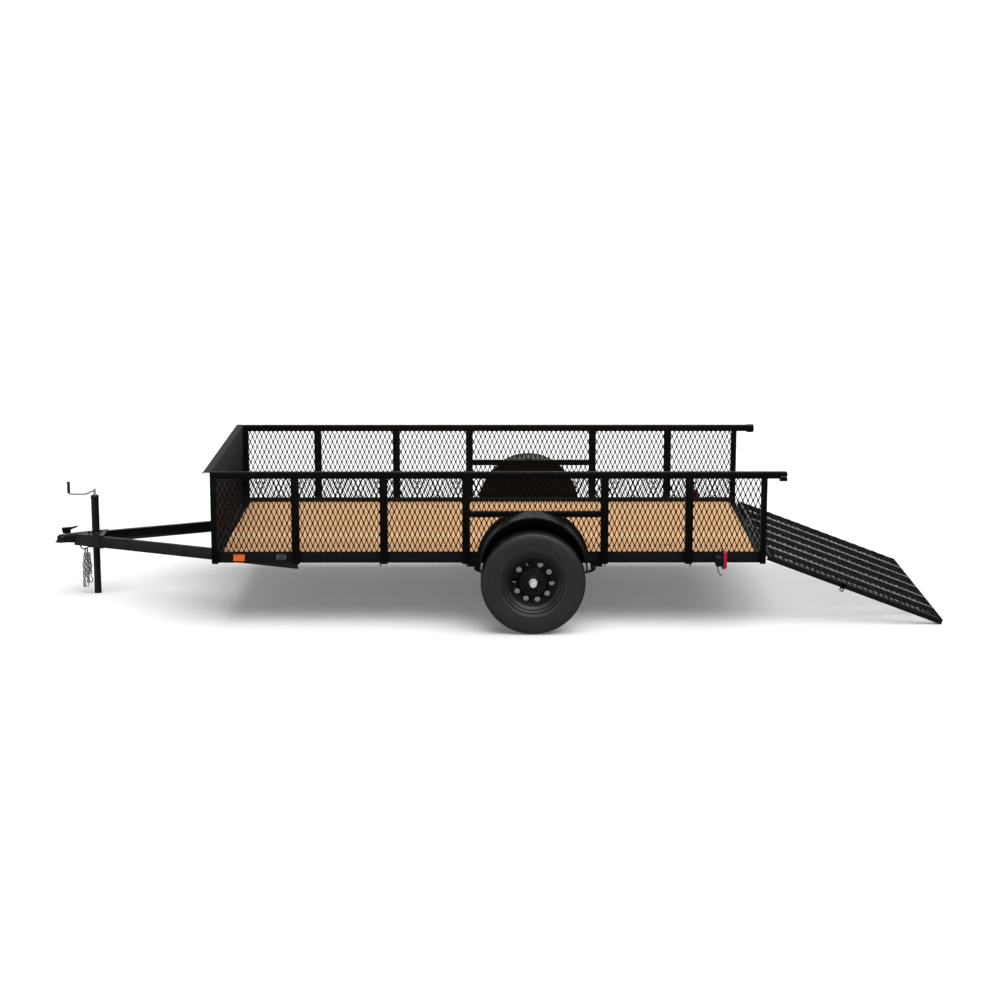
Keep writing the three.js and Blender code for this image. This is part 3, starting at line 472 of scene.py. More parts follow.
def finish_piece(name, piece, material, body, stands_for=(), sharp=32):
    """Scales a piece to metres, turns its faces outwards and puts it on its body."""
    bmesh.ops.recalc_face_normals(piece, faces=piece.faces)
    bmesh.ops.scale(piece, vec=(MM, MM, MM), verts=piece.verts)
    mesh = bpy.data.meshes.new(name)
    piece.to_mesh(mesh)
    piece.free()
    mesh.shade_smooth()
    mesh.set_sharp_from_angle(angle=math.radians(sharp))
    mesh.materials.append(material)
    made = bpy.data.objects.new(name, mesh)
    bpy.context.scene.collection.objects.link(made)
    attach(made, body)
    if stands_for:
        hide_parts(*stands_for)
    print(name, len(mesh.polygons), "faces")
    return made


# %% [markdown]
# ## Fasteners and welds
# Hex bolts hold the running gear, coupler and jack. A weld bead is a row of frozen ripples, each one a
# swelling in a thin rod laid along the joint, because that is how the puddle freezes as the torch steps
# along.


# %% Bolts and beads
WASHER = 2


def hex_bolt(across_flats, washer=True):
    """A bolt head on its washer, standing up Z from the surface."""
    head = bmesh.new()
    radius = across_flats / math.sqrt(3)
    rise = 0.62 * across_flats
    bmesh.ops.create_cone(
        head, cap_ends=True, segments=6, radius1=radius, radius2=radius, depth=rise,
        matrix=move(z=rise / 2 + WASHER),
    )
    upper = [e for e in head.edges if all(v.co.z > rise for v in e.verts)]
    bmesh.ops.bevel(head, geom=upper, offset=1.2, segments=1, profile=0.5, affect="EDGES", material=-1)
    if washer:
        wide = radius * 1.25
        put(head, spun([(0, 0), (wide, 0), (wide, WASHER - 0.4), (radius * 1.2, WASHER), (0, WASHER)], 20))
    return head


def weld_bead(start, end, size=3.2, ripple=3.0):
    start, end = Vector(start), Vector(end)
    count = max(4, int((end - start).length / ripple) * 2)
    points = [start.lerp(end, i / count) for i in range(count + 1)]
    swell = [0.55 if i in (0, count) else (1.0 if i % 2 else 0.84) for i in range(count + 1)]
    return bent_rod(points, size, sides=6, swell=swell)


# %% [markdown]
# ## Side frames
# Each side is a top tube on posts, with a short rail over the wheel. The tube is 44 mm square with rolled
# corners, which is what catches the light along its top edge, so every bar is an eased block and not a
# sharp one. Posts pass down outside the bed rail and are welded to it along both edges.

# %% Side frames
side_low, side_high = extent("side_frame_right")
TUBE_IN = side_low.y
TUBE_OUT = side_high.y
BED_FRONT = side_low.x
BED_FOOT = side_low.z
TOP_RAIL_TOP = side_high.z
TUBE = TUBE_OUT - TUBE_IN
TOP_RAIL_UNDER = TOP_RAIL_TOP - TUBE
rail_low, rail_high = extent("side_rail_right")
BED_REAR = rail_high.x
RAIL_TOP = rail_high.z
POST = 50.8
END_POST = 38
MIDDLE_POSTS = (527, 1109.6, 1652, 2564.5, 3122)
MID_RAIL = 38
MID_RAIL_TOP = 780
CORNER = 4.5
POSTS = [(BED_FRONT, END_POST)]
POSTS += [(BED_FRONT + station, POST) for station in MIDDLE_POSTS]
POSTS += [(BED_REAR - END_POST, END_POST)]
BEFORE_WHEEL, BEHIND_WHEEL = 3, 4  # the posts on each side of the wheel


def open_tube_end(part, height, wall=3, depth=40):
    """Hollows the end of an upright tube at this height."""
    ends = [f for f in part.faces if abs(f.calc_center_median().z - height) < 0.01]
    end = max(ends, key=lambda f: f.calc_area())
    bmesh.ops.inset_region(part, faces=[end], thickness=wall, use_even_offset=True)
    bore = bmesh.ops.extrude_face_region(part, geom=[end])["geom"]
    deep = [g for g in bore if isinstance(g, bmesh.types.BMVert)]
    bmesh.ops.translate(part, vec=(0, 0, depth), verts=deep)


for word, side in SIDES:
    mirror = across(side)
    sides = bmesh.new()
    top_tube = solid_block(
        (BED_FRONT, TUBE_IN, TOP_RAIL_UNDER), (side_high.x, TUBE_OUT, TOP_RAIL_TOP), CORNER, 3
    )
    put(sides, top_tube, mirror)
    for front, wide in POSTS:
        post = solid_block(
            (front, TUBE_IN, BED_FOOT), (front + wide, TUBE_OUT, TOP_RAIL_UNDER + 1), CORNER - 1, 3
        )
        open_tube_end(post, BED_FOOT)
        put(sides, post, mirror)
    mid_rail = solid_block(
        (POSTS[BEFORE_WHEEL][0] + POST, TUBE_OUT - MID_RAIL, MID_RAIL_TOP - MID_RAIL),
        (POSTS[BEHIND_WHEEL][0], TUBE_OUT, MID_RAIL_TOP), CORNER - 1, 3,
    )
    put(sides, mid_rail, mirror)
    beads = bmesh.new()
    for front, wide in POSTS:
        for edge in (front, front + wide):
            seam, top = TUBE_IN + 1, TOP_RAIL_UNDER
            put(beads, weld_bead((edge, seam, BED_FOOT + 6), (edge, seam, RAIL_TOP - 5)), mirror)
            put(beads, weld_bead((edge, TUBE_IN + 5, top), (edge, TUBE_OUT - 5, top), 2.6), mirror)
    finish_piece(f"side_tubes_{word}", sides, FRAME_COAT, "chassis", [f"side_frame_{word}"])
    finish_piece(f"side_welds_{word}", beads, FRAME_COAT, "chassis", sharp=60)

# %% [markdown]
# ## Expanded metal
# Sheet steel is slit and pulled open, so it is one piece of metal whose strands run zigzag and meet at
# knuckles. A picture of holes would have no thickness from the side. Here one strand is extruded along
# its zigzag, and copies stand next to each other, every second one turned round, so that they meet like
# the real strands.

# %% Expanded metal
DIAMOND_SHORT = 33.8
DIAMOND_LONG = 76.2
STRAND_WIDE = 6.6
STRAND_DEEP = 3.0
KNUCKLE = 11.0
SWING = (DIAMOND_SHORT / 2 - STRAND_WIDE) / 2 + 0.2


def zigzag_strand(length):
    """One strand up Z from the origin, swinging along X, with the knuckles raised and sunk along Y."""
    part = bmesh.new()
    half = DIAMOND_LONG / 2
    points = []
    for k in range(int(length / half) + 2):
        lean = 1 if k % 2 else -1
        for end in (-KNUCKLE / 2, KNUCKLE / 2):
            height = min(max(k * half + end, 0.0), length)
            if not points or height > points[-1].z + 0.5:
                points.append(Vector((lean * SWING, lean * 0.7, height)))
    wide, deep = STRAND_WIDE / 2, STRAND_DEEP / 2
    corners = ((-wide, -deep, 0), (wide, -deep, 0), (wide, deep, 0), (-wide, deep, 0))
    face = part.faces.new([part.verts.new(points[0] + Vector(corner)) for corner in corners])
    for before, after in zip(points, points[1:]):
        grown = bmesh.ops.extrude_face_region(part, geom=[face])["geom"]
        face = [g for g in grown if isinstance(g, bmesh.types.BMFace)][0]
        bmesh.ops.translate(part, vec=after - before, verts=face.verts[:])
    return part


def expanded_sheet(width, height):
    """Strands side by side along X, standing up Z, with the sheet's middle at Y 0."""
    sheet = bmesh.new()
    half = DIAMOND_SHORT / 2
    count = int((width - 2 * SWING - STRAND_WIDE) / half)
    start = (width - count * half) / 2
    turned_round = turn_about("Z", 180)
    places = [move(x=start + i * half) @ (turned_round if i % 2 else Matrix()) for i in range(count + 1)]
    put(sheet, zigzag_strand(height), *places)
    return sheet


for word, side in SIDES:
    low, high = extent(f"side_mesh_{word}")
    sheet = bmesh.new()
    put(sheet, expanded_sheet(high.x - low.x, high.z - low.z), move(low.x, (low.y + high.y) / 2, low.z))
    finish_piece(
        f"side_mesh_sheet_{word}", sheet, MESH_PAINT, "chassis", [f"side_mesh_{word}"]
    )

# %% [markdown]
# ## Bed frame
# The rim of the bed is 3 in rolled angle, and lighter angles pass across under the boards. Rolled angle
# has a fillet in its root and rounded toes, so the outlines carry those radii before they are run along.

# %% Bed frame
STEEL = 4.8
for word, side in SIDES:
    low, high = extent("side_rail_right")
    rail = bmesh.new()
    outline = rounded([
        (high.y, low.z, 1), (high.y, high.z, 1.5), (high.y - STEEL, high.z, 2),
        (high.y - STEEL, low.z + STEEL, 6), (low.y, low.z + STEEL, 2.5), (low.y, low.z, 0.8),
    ])
    put(rail, run_bar(outline, high.x - low.x), across(side) @ move(x=low.x) @ RUN_X)
    finish_piece(f"bed_rail_{word}", rail, POWDER_COAT, "chassis", [f"side_rail_{word}"])

ends = bmesh.new()
low, high = extent("front_rail")
outline = rounded([
    (low.x, low.z, 1), (low.x + STEEL, low.z, 1), (low.x + STEEL, deck_high.z - STEEL, 4),
    (high.x, deck_high.z - STEEL, 1), (high.x, deck_high.z, 1), (low.x + STEEL, deck_high.z, 4),
    (low.x + STEEL, high.z, 1), (low.x, high.z, 1),
])
put(ends, run_bar(outline, high.y - low.y), move(y=low.y) @ RUN_Y)
sill_low, sill_high = extent("rear_rail")
outline = rounded([
    (sill_high.x - STEEL, sill_low.z, 1), (sill_high.x, sill_low.z, 1), (sill_high.x, sill_high.z, 3.5),
    (sill_low.x, sill_high.z, 1), (sill_low.x, sill_high.z - STEEL, 2),
    (sill_high.x - STEEL, sill_high.z - STEEL, 5),
])
put(ends, run_bar(outline, sill_high.y - sill_low.y), move(y=sill_low.y) @ RUN_Y)
HINGE_STRIP_HALF, HINGE_STRIP_UNDER, HINGE_STRIP_OVER = 860, 449, 453
hinge_strip = solid_block(
    (sill_high.x - 0.5, -HINGE_STRIP_HALF, HINGE_STRIP_UNDER),
    (sill_high.x + 20, HINGE_STRIP_HALF, HINGE_STRIP_OVER), 1,
)
put(ends, hinge_strip)
finish_piece("bed_ends", ends, FRAME_COAT, "chassis", ["front_rail", "rear_rail"])

crossmembers = bmesh.new()
CROSSMEMBERS = [f"crossmember_{i}" for i in range(1, 7)]
RAIL_INNER = rail_low.y - GAP
for node in CROSSMEMBERS:
    low, high = extent(node)
    outline = rounded([
        (low.x, low.z, 1), (low.x + STEEL, low.z, 2), (low.x + STEEL, high.z - STEEL, 5),
        (high.x, high.z - STEEL, 2), (high.x, high.z, 1), (low.x, high.z, 1),
    ])
    put(crossmembers, run_bar(outline, 2 * RAIL_INNER), move(y=-RAIL_INNER) @ RUN_Y)
    tab = solid_block((low.x, RAIL_INNER, low.z), (low.x + STEEL, high.y, rail_low.z - GAP), 1)
    put(crossmembers, tab, Matrix(), FLIP_Y)
finish_piece("crossmembers", crossmembers, POWDER_COAT, "chassis", CROSSMEMBERS)

# %% [markdown]
# ## Deck boards
# Thirteen boards lie along the bed with a saw's width between them. Their arrises are eased by the
# planer, and a pair of countersunk screws holds each board to every crossmember.

# %% Boards and screws
BOARD_GAP = 3
boards = bmesh.new()
for i in range(BOARD_COUNT):
    left = deck_low.y + i * BOARD_PITCH + BOARD_GAP / 2
    drop = 0.4 * math.sin(5 * i)  # neighbours dry to slightly different heights
    put(
        boards,
        solid_block(
            (deck_low.x + 1.5 * (i % 3), left, deck_low.z + 0.5),
            (deck_high.x, left + BOARD_PITCH - BOARD_GAP, deck_high.z - 0.4 + drop),
            2.5,
        ),
    )
finish_piece("deck_planks", boards, PINE, "chassis", ["deck_boards"])

screws = bmesh.new()
screw_rows = [extent(node)[0].x + 19 for node in CROSSMEMBERS] + [deck_low.x + 24, deck_high.x - 12]
places = []
for i in range(BOARD_COUNT):
    middle = deck_low.y + (i + 0.5) * BOARD_PITCH
    places += [move(x, middle + shift, deck_high.z - 0.8) for x in screw_rows for shift in (-42, 42)]
put(screws, spun([(0, 0), (6.2, 0), (6.2, 0.8), (5, 1.6), (2.2, 1.7), (1.8, 0.7), (0, 0.7)], 12), *places)
finish_piece("deck_screws", screws, BOLT_STEEL, "chassis")

# %% [markdown]
# ## Front wall
# One sheet folded over at the top: the flange leans forward past the posts and ends in a small stiffening
# lip. The fold is an arc in the outline, so the light rolls over it. Light and shade are painted into its
# colour: near black low down as painted shade, and paler towards the top as painted light.

# %% Front wall
low, high = extent("front_wall")
SHEET = 3.0
FLANGE_LIP = 13
wall = bmesh.new()
outline = rounded([
    (high.x - SHEET, low.z, 0), (high.x, low.z, 0), (high.x, high.z, 7), (low.x, high.z, 5),
    (low.x, high.z - FLANGE_LIP, 0), (low.x + SHEET, high.z - FLANGE_LIP, 0),
    (low.x + SHEET, high.z - SHEET, 2), (high.x - SHEET, high.z - SHEET, 4),
], 4)
put(wall, run_bar(outline, high.y - low.y), move(y=low.y) @ RUN_Y)


def paint_shade_to_light(paint, foot, crown, code):
    """Paints shade and light into a paint: darker at the foot, paler towards the crown."""
    tree = paint.node_tree
    shader = tree.nodes["Principled BSDF"]
    unshaded_colour = shader.inputs["Base Color"].links[0].from_socket
    place = add_node(tree, "ShaderNodeTexCoord").outputs["Object"]
    height = add_node(tree, "ShaderNodeSeparateXYZ", {0: place}).outputs["Z"]
    rise = add_node(
        tree, "ShaderNodeMapRange", {"Value": height, "From Min": foot * MM, "From Max": crown * MM}
    )
    paler = add_node(
        tree,
        "ShaderNodeMix",
        {MIX_FACTOR: rise.outputs[0], MIX_A: unshaded_colour, MIX_B: tint(code)},
        data_type="RGBA",
    )
    tree.links.new(paler.outputs[MIX_RESULT], shader.inputs["Base Color"])


# Painted shade and light: the wall is near black up to this height and turns paler grey towards its top.
PAINTED_SHADE_FOOT = 640
paint_shade_to_light(WALL_PAINT, PAINTED_SHADE_FOOT, high.z, "#353637")
finish_piece("front_panel", wall, WALL_PAINT, "chassis", ["front_wall"])

# %% [markdown]
# ## Tongue
# Two 3 in channels meet at the coupler and run back under the bed. A channel is a rolled section with a
# root fillet inside; it is run along, swung out to the A-frame's angle, and mitred by cutting planes, as
# a saw would.

# %% Tongue
TONGUE_ANGLE = 25
TONGUE_APEX = BED_FRONT - 1145
CHANNEL_WEB = 4.3
CHANNEL_FLANGE = 35.8
CHANNEL_LIP = 6


def saw_off(part, point, outwards):
    """Cuts away what lies beyond a plane, and closes the cut."""
    whole = part.verts[:] + part.edges[:] + part.faces[:]
    made = bmesh.ops.bisect_plane(part, geom=whole, plane_co=point, plane_no=outwards, clear_outer=True)
    cut = [g for g in made["geom_cut"] if isinstance(g, bmesh.types.BMEdge)]
    bmesh.ops.holes_fill(part, edges=cut)


low, high = extent("tongue_right")
channel = rounded([
    (0, low.z, 2), (0, high.z, 2), (-CHANNEL_FLANGE, high.z, 1), (-CHANNEL_FLANGE, high.z - CHANNEL_LIP, 3),
    (-CHANNEL_WEB, high.z - CHANNEL_LIP, 5), (-CHANNEL_WEB, low.z + CHANNEL_LIP, 5),
    (-CHANNEL_FLANGE, low.z + CHANNEL_LIP, 3), (-CHANNEL_FLANGE, low.z, 1),
])
long_enough = (high.x - TONGUE_APEX) / math.cos(math.radians(TONGUE_ANGLE)) + 100
bar = run_bar(channel, long_enough)
bmesh.ops.transform(bar, matrix=move(TONGUE_APEX) @ turn_about("Z", TONGUE_ANGLE) @ RUN_X, verts=bar.verts)
saw_off(bar, (high.x, 0, 0), (1, 0, 0))
saw_off(bar, (low.x, 0, 0), (-1, 0, 0))
saw_off(bar, (0, low.y, 0), (0, -1, 0))
tongue = bmesh.new()
put(tongue, bar, Matrix(), FLIP_Y)
finish_piece(
    "tongue_channels", tongue, POWDER_COAT, "chassis", ["tongue_left", "tongue_right"]
)


def tongue_out(x):
    """How far out a channel's outer face is at some place along the trailer."""
    return math.tan(math.radians(TONGUE_ANGLE)) * (x - TONGUE_APEX)


# %% [markdown]
# ## Coupler
# The coupler is pressed from plate: a ball socket with a rolled lip, a hood behind it, a roof and two
# arms that are welded and bolted to the channels. The socket is spun as one hollow shell, and the hood is
# a bent outline.

# %% Coupler
head_low, head_high = extent("coupler_head")
hood_low, hood_high = extent("coupler")
BALL_X = (head_low.x + head_high.x) / 2
PLATE = 4
HOOD_HALF = 34
TONGUE_TIP = low.x
coupler = bmesh.new()
top, lip = head_high.z, head_low.z
HOOD_SLOPE = 9  # the hood runs down to the socket's crown
crown = top - HOOD_SLOPE
put(
    coupler,
    spun([
        (0, crown), (14, crown - 1), (26, crown - 5), (34, crown - 12), (38, crown - 22), (39, crown - 30),
        (40, lip + 9), (44, lip + 5), (50, lip + 4), (51, lip + 2), (50, lip), (27, lip), (25.6, lip + 2),
        (25.4, crown - 28), (21, crown - 16), (14, crown - 9), (0, crown - 6),
    ], 40),
    move(x=BALL_X),
)
hood = rounded([
    (-HOOD_HALF, lip, 0), (-HOOD_HALF, top, 12), (HOOD_HALF, top, 12), (HOOD_HALF, lip, 0),
    (HOOD_HALF - PLATE, lip, 0), (HOOD_HALF - PLATE, top - PLATE, 8), (PLATE - HOOD_HALF, top - PLATE, 8),
    (PLATE - HOOD_HALF, lip, 0),
], 5)
hood_bar = run_bar(hood, TONGUE_TIP - 13 - BALL_X)
nose = [v for v in hood_bar.verts if v.co.z < 1 and v.co.y > (top + lip) / 2]
bmesh.ops.translate(hood_bar, vec=(0, -HOOD_SLOPE, 0), verts=nose)
put(coupler, hood_bar, move(x=BALL_X + 12) @ RUN_X)
shoulder = TONGUE_TIP - 6
roof_rear = extent("jack_plate_top")[0].x - 0.5
roof = rounded([
    (shoulder, -tongue_out(shoulder) - 1, 3), (roof_rear, -tongue_out(roof_rear) - 1, 6),
    (roof_rear, tongue_out(roof_rear) + 1, 6), (shoulder, tongue_out(shoulder) + 1, 3),
])
put(coupler, run_bar(roof, PLATE), move(z=top - PLATE))
arm_rear = hood_high.x
arm_thick = PLATE / math.cos(math.radians(TONGUE_ANGLE))
narrow = tongue_out(shoulder) + GAP
broad = tongue_out(arm_rear) + GAP
arm = rounded([
    (shoulder, narrow, 0), (arm_rear, broad, 0.5), (arm_rear, broad + arm_thick, 1.5),
    (shoulder, narrow + arm_thick, 2),
])
put(coupler, run_bar(arm, top - hood_low.z), move(z=hood_low.z), FLIP_Y @ move(z=hood_low.z))
finish_piece("coupler_shell", coupler, POWDER_COAT, "chassis", ["coupler", "coupler_head"])

fittings = bmesh.new()
for x in (TONGUE_TIP - 34, TONGUE_TIP - 50):
    place = move(x, HOOD_HALF, lip + 16) @ turn_about("X", -90)
    put(fittings, hex_bolt(9), place, FLIP_Y @ place)
put(fittings, bent_rod([(BALL_X + 26, -46, top - 24), (BALL_X + 26, 46, top - 24)], 5, 12))
finish_piece("coupler_bolts", fittings, BOLT_STEEL, "chassis")

latch_low, latch_high = extent("coupler_latch")
front, foot, rear = latch_low.x, latch_low.z, latch_high.x
latch = bmesh.new()
lever = rounded([
    (front + 4, foot - 3, 1), (front + 56, foot, 1), (front + 58, foot + 24, 5), (rear, foot + 44, 2),
    (rear - 2, foot + 51, 2), (front + 54, foot + 41, 6), (front - 5, foot + 37, 3),
    (front - 3, foot + 28, 2),
])
put(latch, run_bar(lever, latch_high.y - latch_low.y), move(y=latch_low.y) @ RUN_Y)
put(latch, bent_rod([(front + 28, -15, foot + 18), (front + 28, 15, foot + 18)], 4.5, 12))
finish_piece("coupler_lever", latch, FRAME_COAT, "chassis", ["coupler_latch"])

# %% [markdown]
# ## Safety chains
# Two chains hang doubled from a bar under the apex. A link is rod bent to an oval and welded shut, so one
# link is a closed bent rod, and copies of it are turned a quarter from one to the next.

# %% Chains
loop_low, loop_high = extent("chain_loop")
LOOP_X = (loop_low.x + loop_high.x) / 2
LOOP_REACH = (loop_high.x - loop_low.x) / 2 - 5


def oval(half_width, half_height, steps=6):
    """A long oval in X and Z round the origin."""
    straight = half_height - half_width
    points = []
    for end in (1, -1):
        for k in range(steps + 1):
            angle = math.pi * k / steps + (0 if end > 0 else math.pi)
            points.append((half_width * math.cos(angle), 0, end * straight + half_width * math.sin(angle)))
    return points


eye = bmesh.new()
bend = loop_low.z + LOOP_REACH + 5
turns = [math.pi + math.pi * k / 16 for k in range(17)]
swing = [(LOOP_X + LOOP_REACH * math.cos(a), 0, bend + LOOP_REACH * math.sin(a)) for a in turns]
swing = [(swing[0][0], 0, loop_high.z)] + swing + [(swing[-1][0], 0, loop_high.z)]
put(eye, bent_rod(swing, 4.9, 12))
finish_piece("chain_eye_bar", eye, POWDER_COAT, "chassis", ["chain_loop"])

RING_HALF = 24  # half the length of the ring that joins a chain to the bar
RING_DROP = 14
LINK_WIRE = 4.6
LINK_PITCH = 21.5
LINK_HALF = LINK_PITCH / 2 + LINK_WIRE
STRANDS_APART = 9.5  # each of the two strands from the chain's middle
HOOK_ROUTE = [
    (0, 0, 0), (4, 0, -12), (10, 0, -26), (12, 0, -40), (6, 0, -50), (-4, 0, -52), (-11, 0, -44),
    (-10, 0, -34),
]
for word, side in SIDES:
    low, high = extent(f"safety_chain_{word}")
    middle_x = (low.x + high.x) / 2
    middle_y = (low.y + high.y) / 2
    chain = bmesh.new()
    hang = loop_low.z + 5
    ring_x = LOOP_X + (4 if side < 0 else 20)
    ring = [(ring_x, y, hang - RING_DROP + z) for y, _, z in oval(11, RING_HALF)]
    put(chain, bent_rod(ring, 3.6, 8, closed=True))
    top_z = hang - RING_DROP - RING_HALF + LINK_HALF - 4
    count = int((top_z - LINK_HALF - low.z) / LINK_PITCH) + 1
    places = []
    for strand in (-1, 1):
        for k in range(count - (3 if strand > 0 else 0)):
            lean = 1.2 * math.sin(1.9 * k + strand)
            quarter = 40 if (k + (strand > 0)) % 2 else -50
            gather = min(1.0, 0.35 + 0.2 * k)
            x = middle_x + strand * STRANDS_APART * gather + lean
            y = middle_y * min(1.0, 0.3 + 0.2 * k)
            places.append(move(x, y, top_z - LINK_HALF - k * LINK_PITCH) @ turn_about("Z", quarter))
    put(chain, bent_rod(oval(7.2, LINK_HALF - LINK_WIRE / 2, 5), LINK_WIRE, 8, closed=True), *places)
    hook_top = top_z - LINK_HALF - (count - 3) * LINK_PITCH
    put(chain, bent_rod(HOOK_ROUTE, 4.2, 8), move(middle_x + STRANDS_APART, middle_y, hook_top))
    finish_piece(f"chain_links_{word}", chain, ZINC_DULL, "chassis", [f"safety_chain_{word}"], 60)

# %% [markdown]
# ## Jack
# A crank jack stands through two plates between the channels. Its tube is a drawn tube with a pressed
# cap; the crank is zinc plated rod bent twice, with a moulded grip that turns on its end.

# %% Jack
tube_low, tube_high = extent("jack_tube")
JACK_X = (tube_low.x + tube_high.x) / 2
tube_radius = (tube_high.x - tube_low.x) / 2
jack = bmesh.new()
top, foot = tube_high.z, tube_low.z
put(
    jack,
    spun([
        (0, top), (20, top), (26, top - 1.5), (tube_radius, top - 5), (tube_radius, top - 22),
        (tube_radius - 1.4, top - 24), (tube_radius - 1.4, foot + 10), (tube_radius, foot + 8),
        (tube_radius, foot), (tube_radius - 2.4, foot),
        (tube_radius - 2.5, top - 12), (0, top - 12),
    ], 40),
    move(x=JACK_X),
)
for node in ("jack_plate_top", "jack_plate_bottom"):
    low, high = extent(node)
    shape = rounded([
        (low.x, -tongue_out(low.x) + 1, 4), (high.x, -tongue_out(high.x) + 1, 8),
        (high.x, tongue_out(high.x) - 1, 8), (low.x, tongue_out(low.x) - 1, 4),
    ])
    put(jack, run_bar(shape, high.z - low.z), move(z=low.z))
    put(jack, spun([(27, 0), (33, 0), (33, 1.5), (29.5, 5), (27, 5)], 40), move(JACK_X, 0, high.z))
finish_piece(
    "jack_body", jack, POWDER_COAT, "chassis",
    ["jack_tube", "jack_plate_top", "jack_plate_bottom"],
)

bolts = bmesh.new()
plate_high = extent("jack_plate_top")[1]
PLATE_BOLT_CIRCLE = 48
for degrees in (60, 180, 300):
    x = JACK_X + PLATE_BOLT_CIRCLE * math.cos(math.radians(degrees))
    y = PLATE_BOLT_CIRCLE * math.sin(math.radians(degrees))
    put(bolts, hex_bolt(16), move(x, y, plate_high.z))
finish_piece("jack_bolts", bolts, BOLT_STEEL, "chassis")

leg_low, leg_high = extent("jack_leg")
leg_radius = (leg_high.x - leg_low.x) / 2
leg = bmesh.new()
put(
    leg,
    spun([
        (0, 0), (leg_radius - 1.5, 0), (leg_radius, 1.5), (leg_radius, 12), (leg_radius - 1, 14),
        (leg_radius - 1, leg_high.z - 1), (leg_radius - 2, leg_high.z), (0, leg_high.z),
    ], 40),
    move(x=JACK_X),
)
FOOT_PIN = 21  # low enough to stay below the tube when the leg is drawn up
pin_end = leg_radius + 1
put(leg, bent_rod([(JACK_X, -pin_end, FOOT_PIN), (JACK_X, pin_end, FOOT_PIN)], 6, 12))
finish_piece("jack_inner_leg", leg, POWDER_COAT, "jack_leg", ["jack_leg"])

crank_low, crank_high = extent("jack_crank")
grip_low, grip_high = extent("jack_grip")
GRIP_X = (grip_low.x + grip_high.x) / 2
foot, top = crank_low.z, crank_high.z
crank = bmesh.new()
put(
    crank,
    spun([
        (0, foot), (14, foot), (14, foot + 7), (12, foot + 9), (8, foot + 9.5), (8, top - 2),
        (6.5, top), (0, top),
    ], 24),
    move(x=JACK_X),
)
level = foot + 5.7
route = [(JACK_X + 10, top - 17), (JACK_X, top - 17), (JACK_X - 14, top - 18.5), (JACK_X - 30, top - 24),
         (JACK_X - 48, level + 6), (JACK_X - 64, level + 1.5), (JACK_X - 84, level), (GRIP_X + 30, level),
         (GRIP_X + 16, level), (GRIP_X + 8, level + 1.5), (GRIP_X + 2.5, level + 6), (GRIP_X, level + 11),
         (GRIP_X, grip_low.z + 6)]
put(crank, bent_rod([(x, 0, z) for x, z in route], 6, 14))
finish_piece("crank_rod", crank, ZINC_DULL, "chassis", ["jack_crank"], 50)

grip = bmesh.new()
foot, top = grip_low.z - 7, grip_high.z
profile = [(0, foot), (8, foot), (10.5, foot + 2)]
for k in range(8):
    base = foot + 6 + k * (top - foot - 14) / 8
    profile += [(11, base), (11, base + 4), (10, base + 5), (10, base + 6)]
profile += [(11, top - 8), (10.5, top - 4), (8, top - 1), (4, top), (0, top)]
put(grip, spun(profile, 28), move(x=GRIP_X))
finish_piece("crank_grip", grip, VINYL, "chassis", ["jack_grip"], 50)

# %% [markdown]
# ## Axle and springs
# A round tube axle sits on leaf springs. The leaves are flat bar with a set camber, so each is an outline
# bent along the same curve and as wide as the bar. U-bolts pass over the axle and clamp it to the pack.

# %% Axle, springs and hangers
axle_low, axle_high = extent("axle_beam")
AXLE_X = (axle_low.x + axle_high.x) / 2
AXLE_Z = (axle_low.z + axle_high.z) / 2
AXLE_RADIUS = (axle_high.z - axle_low.z) / 2
SHOULDER = 985
axle = bmesh.new()
half = [(0, 0), (AXLE_RADIUS, 0), (AXLE_RADIUS, SHOULDER - 3), (AXLE_RADIUS - 3, SHOULDER), (17, SHOULDER),
        (17, axle_high.y), (0, axle_high.y)]
put(axle, spun(half, 40), move(AXLE_X, 0, AXLE_Z) @ RUN_Y, move(AXLE_X, 0, AXLE_Z) @ FLIP_Y @ RUN_Y)
bmesh.ops.remove_doubles(axle, verts=axle.verts, dist=0.01)
centre_faces = [f for f in axle.faces if all(abs(v.co.y) < 0.01 for v in f.verts)]
bmesh.ops.delete(axle, geom=centre_faces, context="FACES")
finish_piece("axle_tube", axle, POWDER_COAT, "chassis", ["axle_beam"])

spring_low, spring_high = extent("leaf_spring_right")
SPRING_Y = (spring_low.y + spring_high.y) / 2
SPRING_HALF = (spring_high.y - spring_low.y) / 2
EYE_RADIUS = 17
EYE_BORE = 9
FRONT_EYE = spring_low.x + EYE_RADIUS
REAR_EYE = spring_high.x - EYE_RADIUS
EYE_Z = spring_high.z - EYE_RADIUS
LEAF = 7
PACK_TOP = AXLE_Z - AXLE_RADIUS - 4
LEAVES = ((0, 0), (110, LEAF), (220, 2 * LEAF))


def spring_rise(x):
    """Height of the main leaf's upper face."""
    eye = FRONT_EYE if x < AXLE_X else REAR_EYE
    share = (x - AXLE_X) / (eye - AXLE_X)
    return PACK_TOP + (EYE_Z - 14 - PACK_TOP) * share * share


def leaf_outline(short, drop, steps=26):
    start, end = FRONT_EYE + short, REAR_EYE - short
    xs = [start + (end - start) * k / steps for k in range(steps + 1)]
    under = [(x, spring_rise(x) - drop - LEAF + 0.4) for x in xs]
    over = [(x, spring_rise(x) - drop) for x in reversed(xs)]
    return under + over


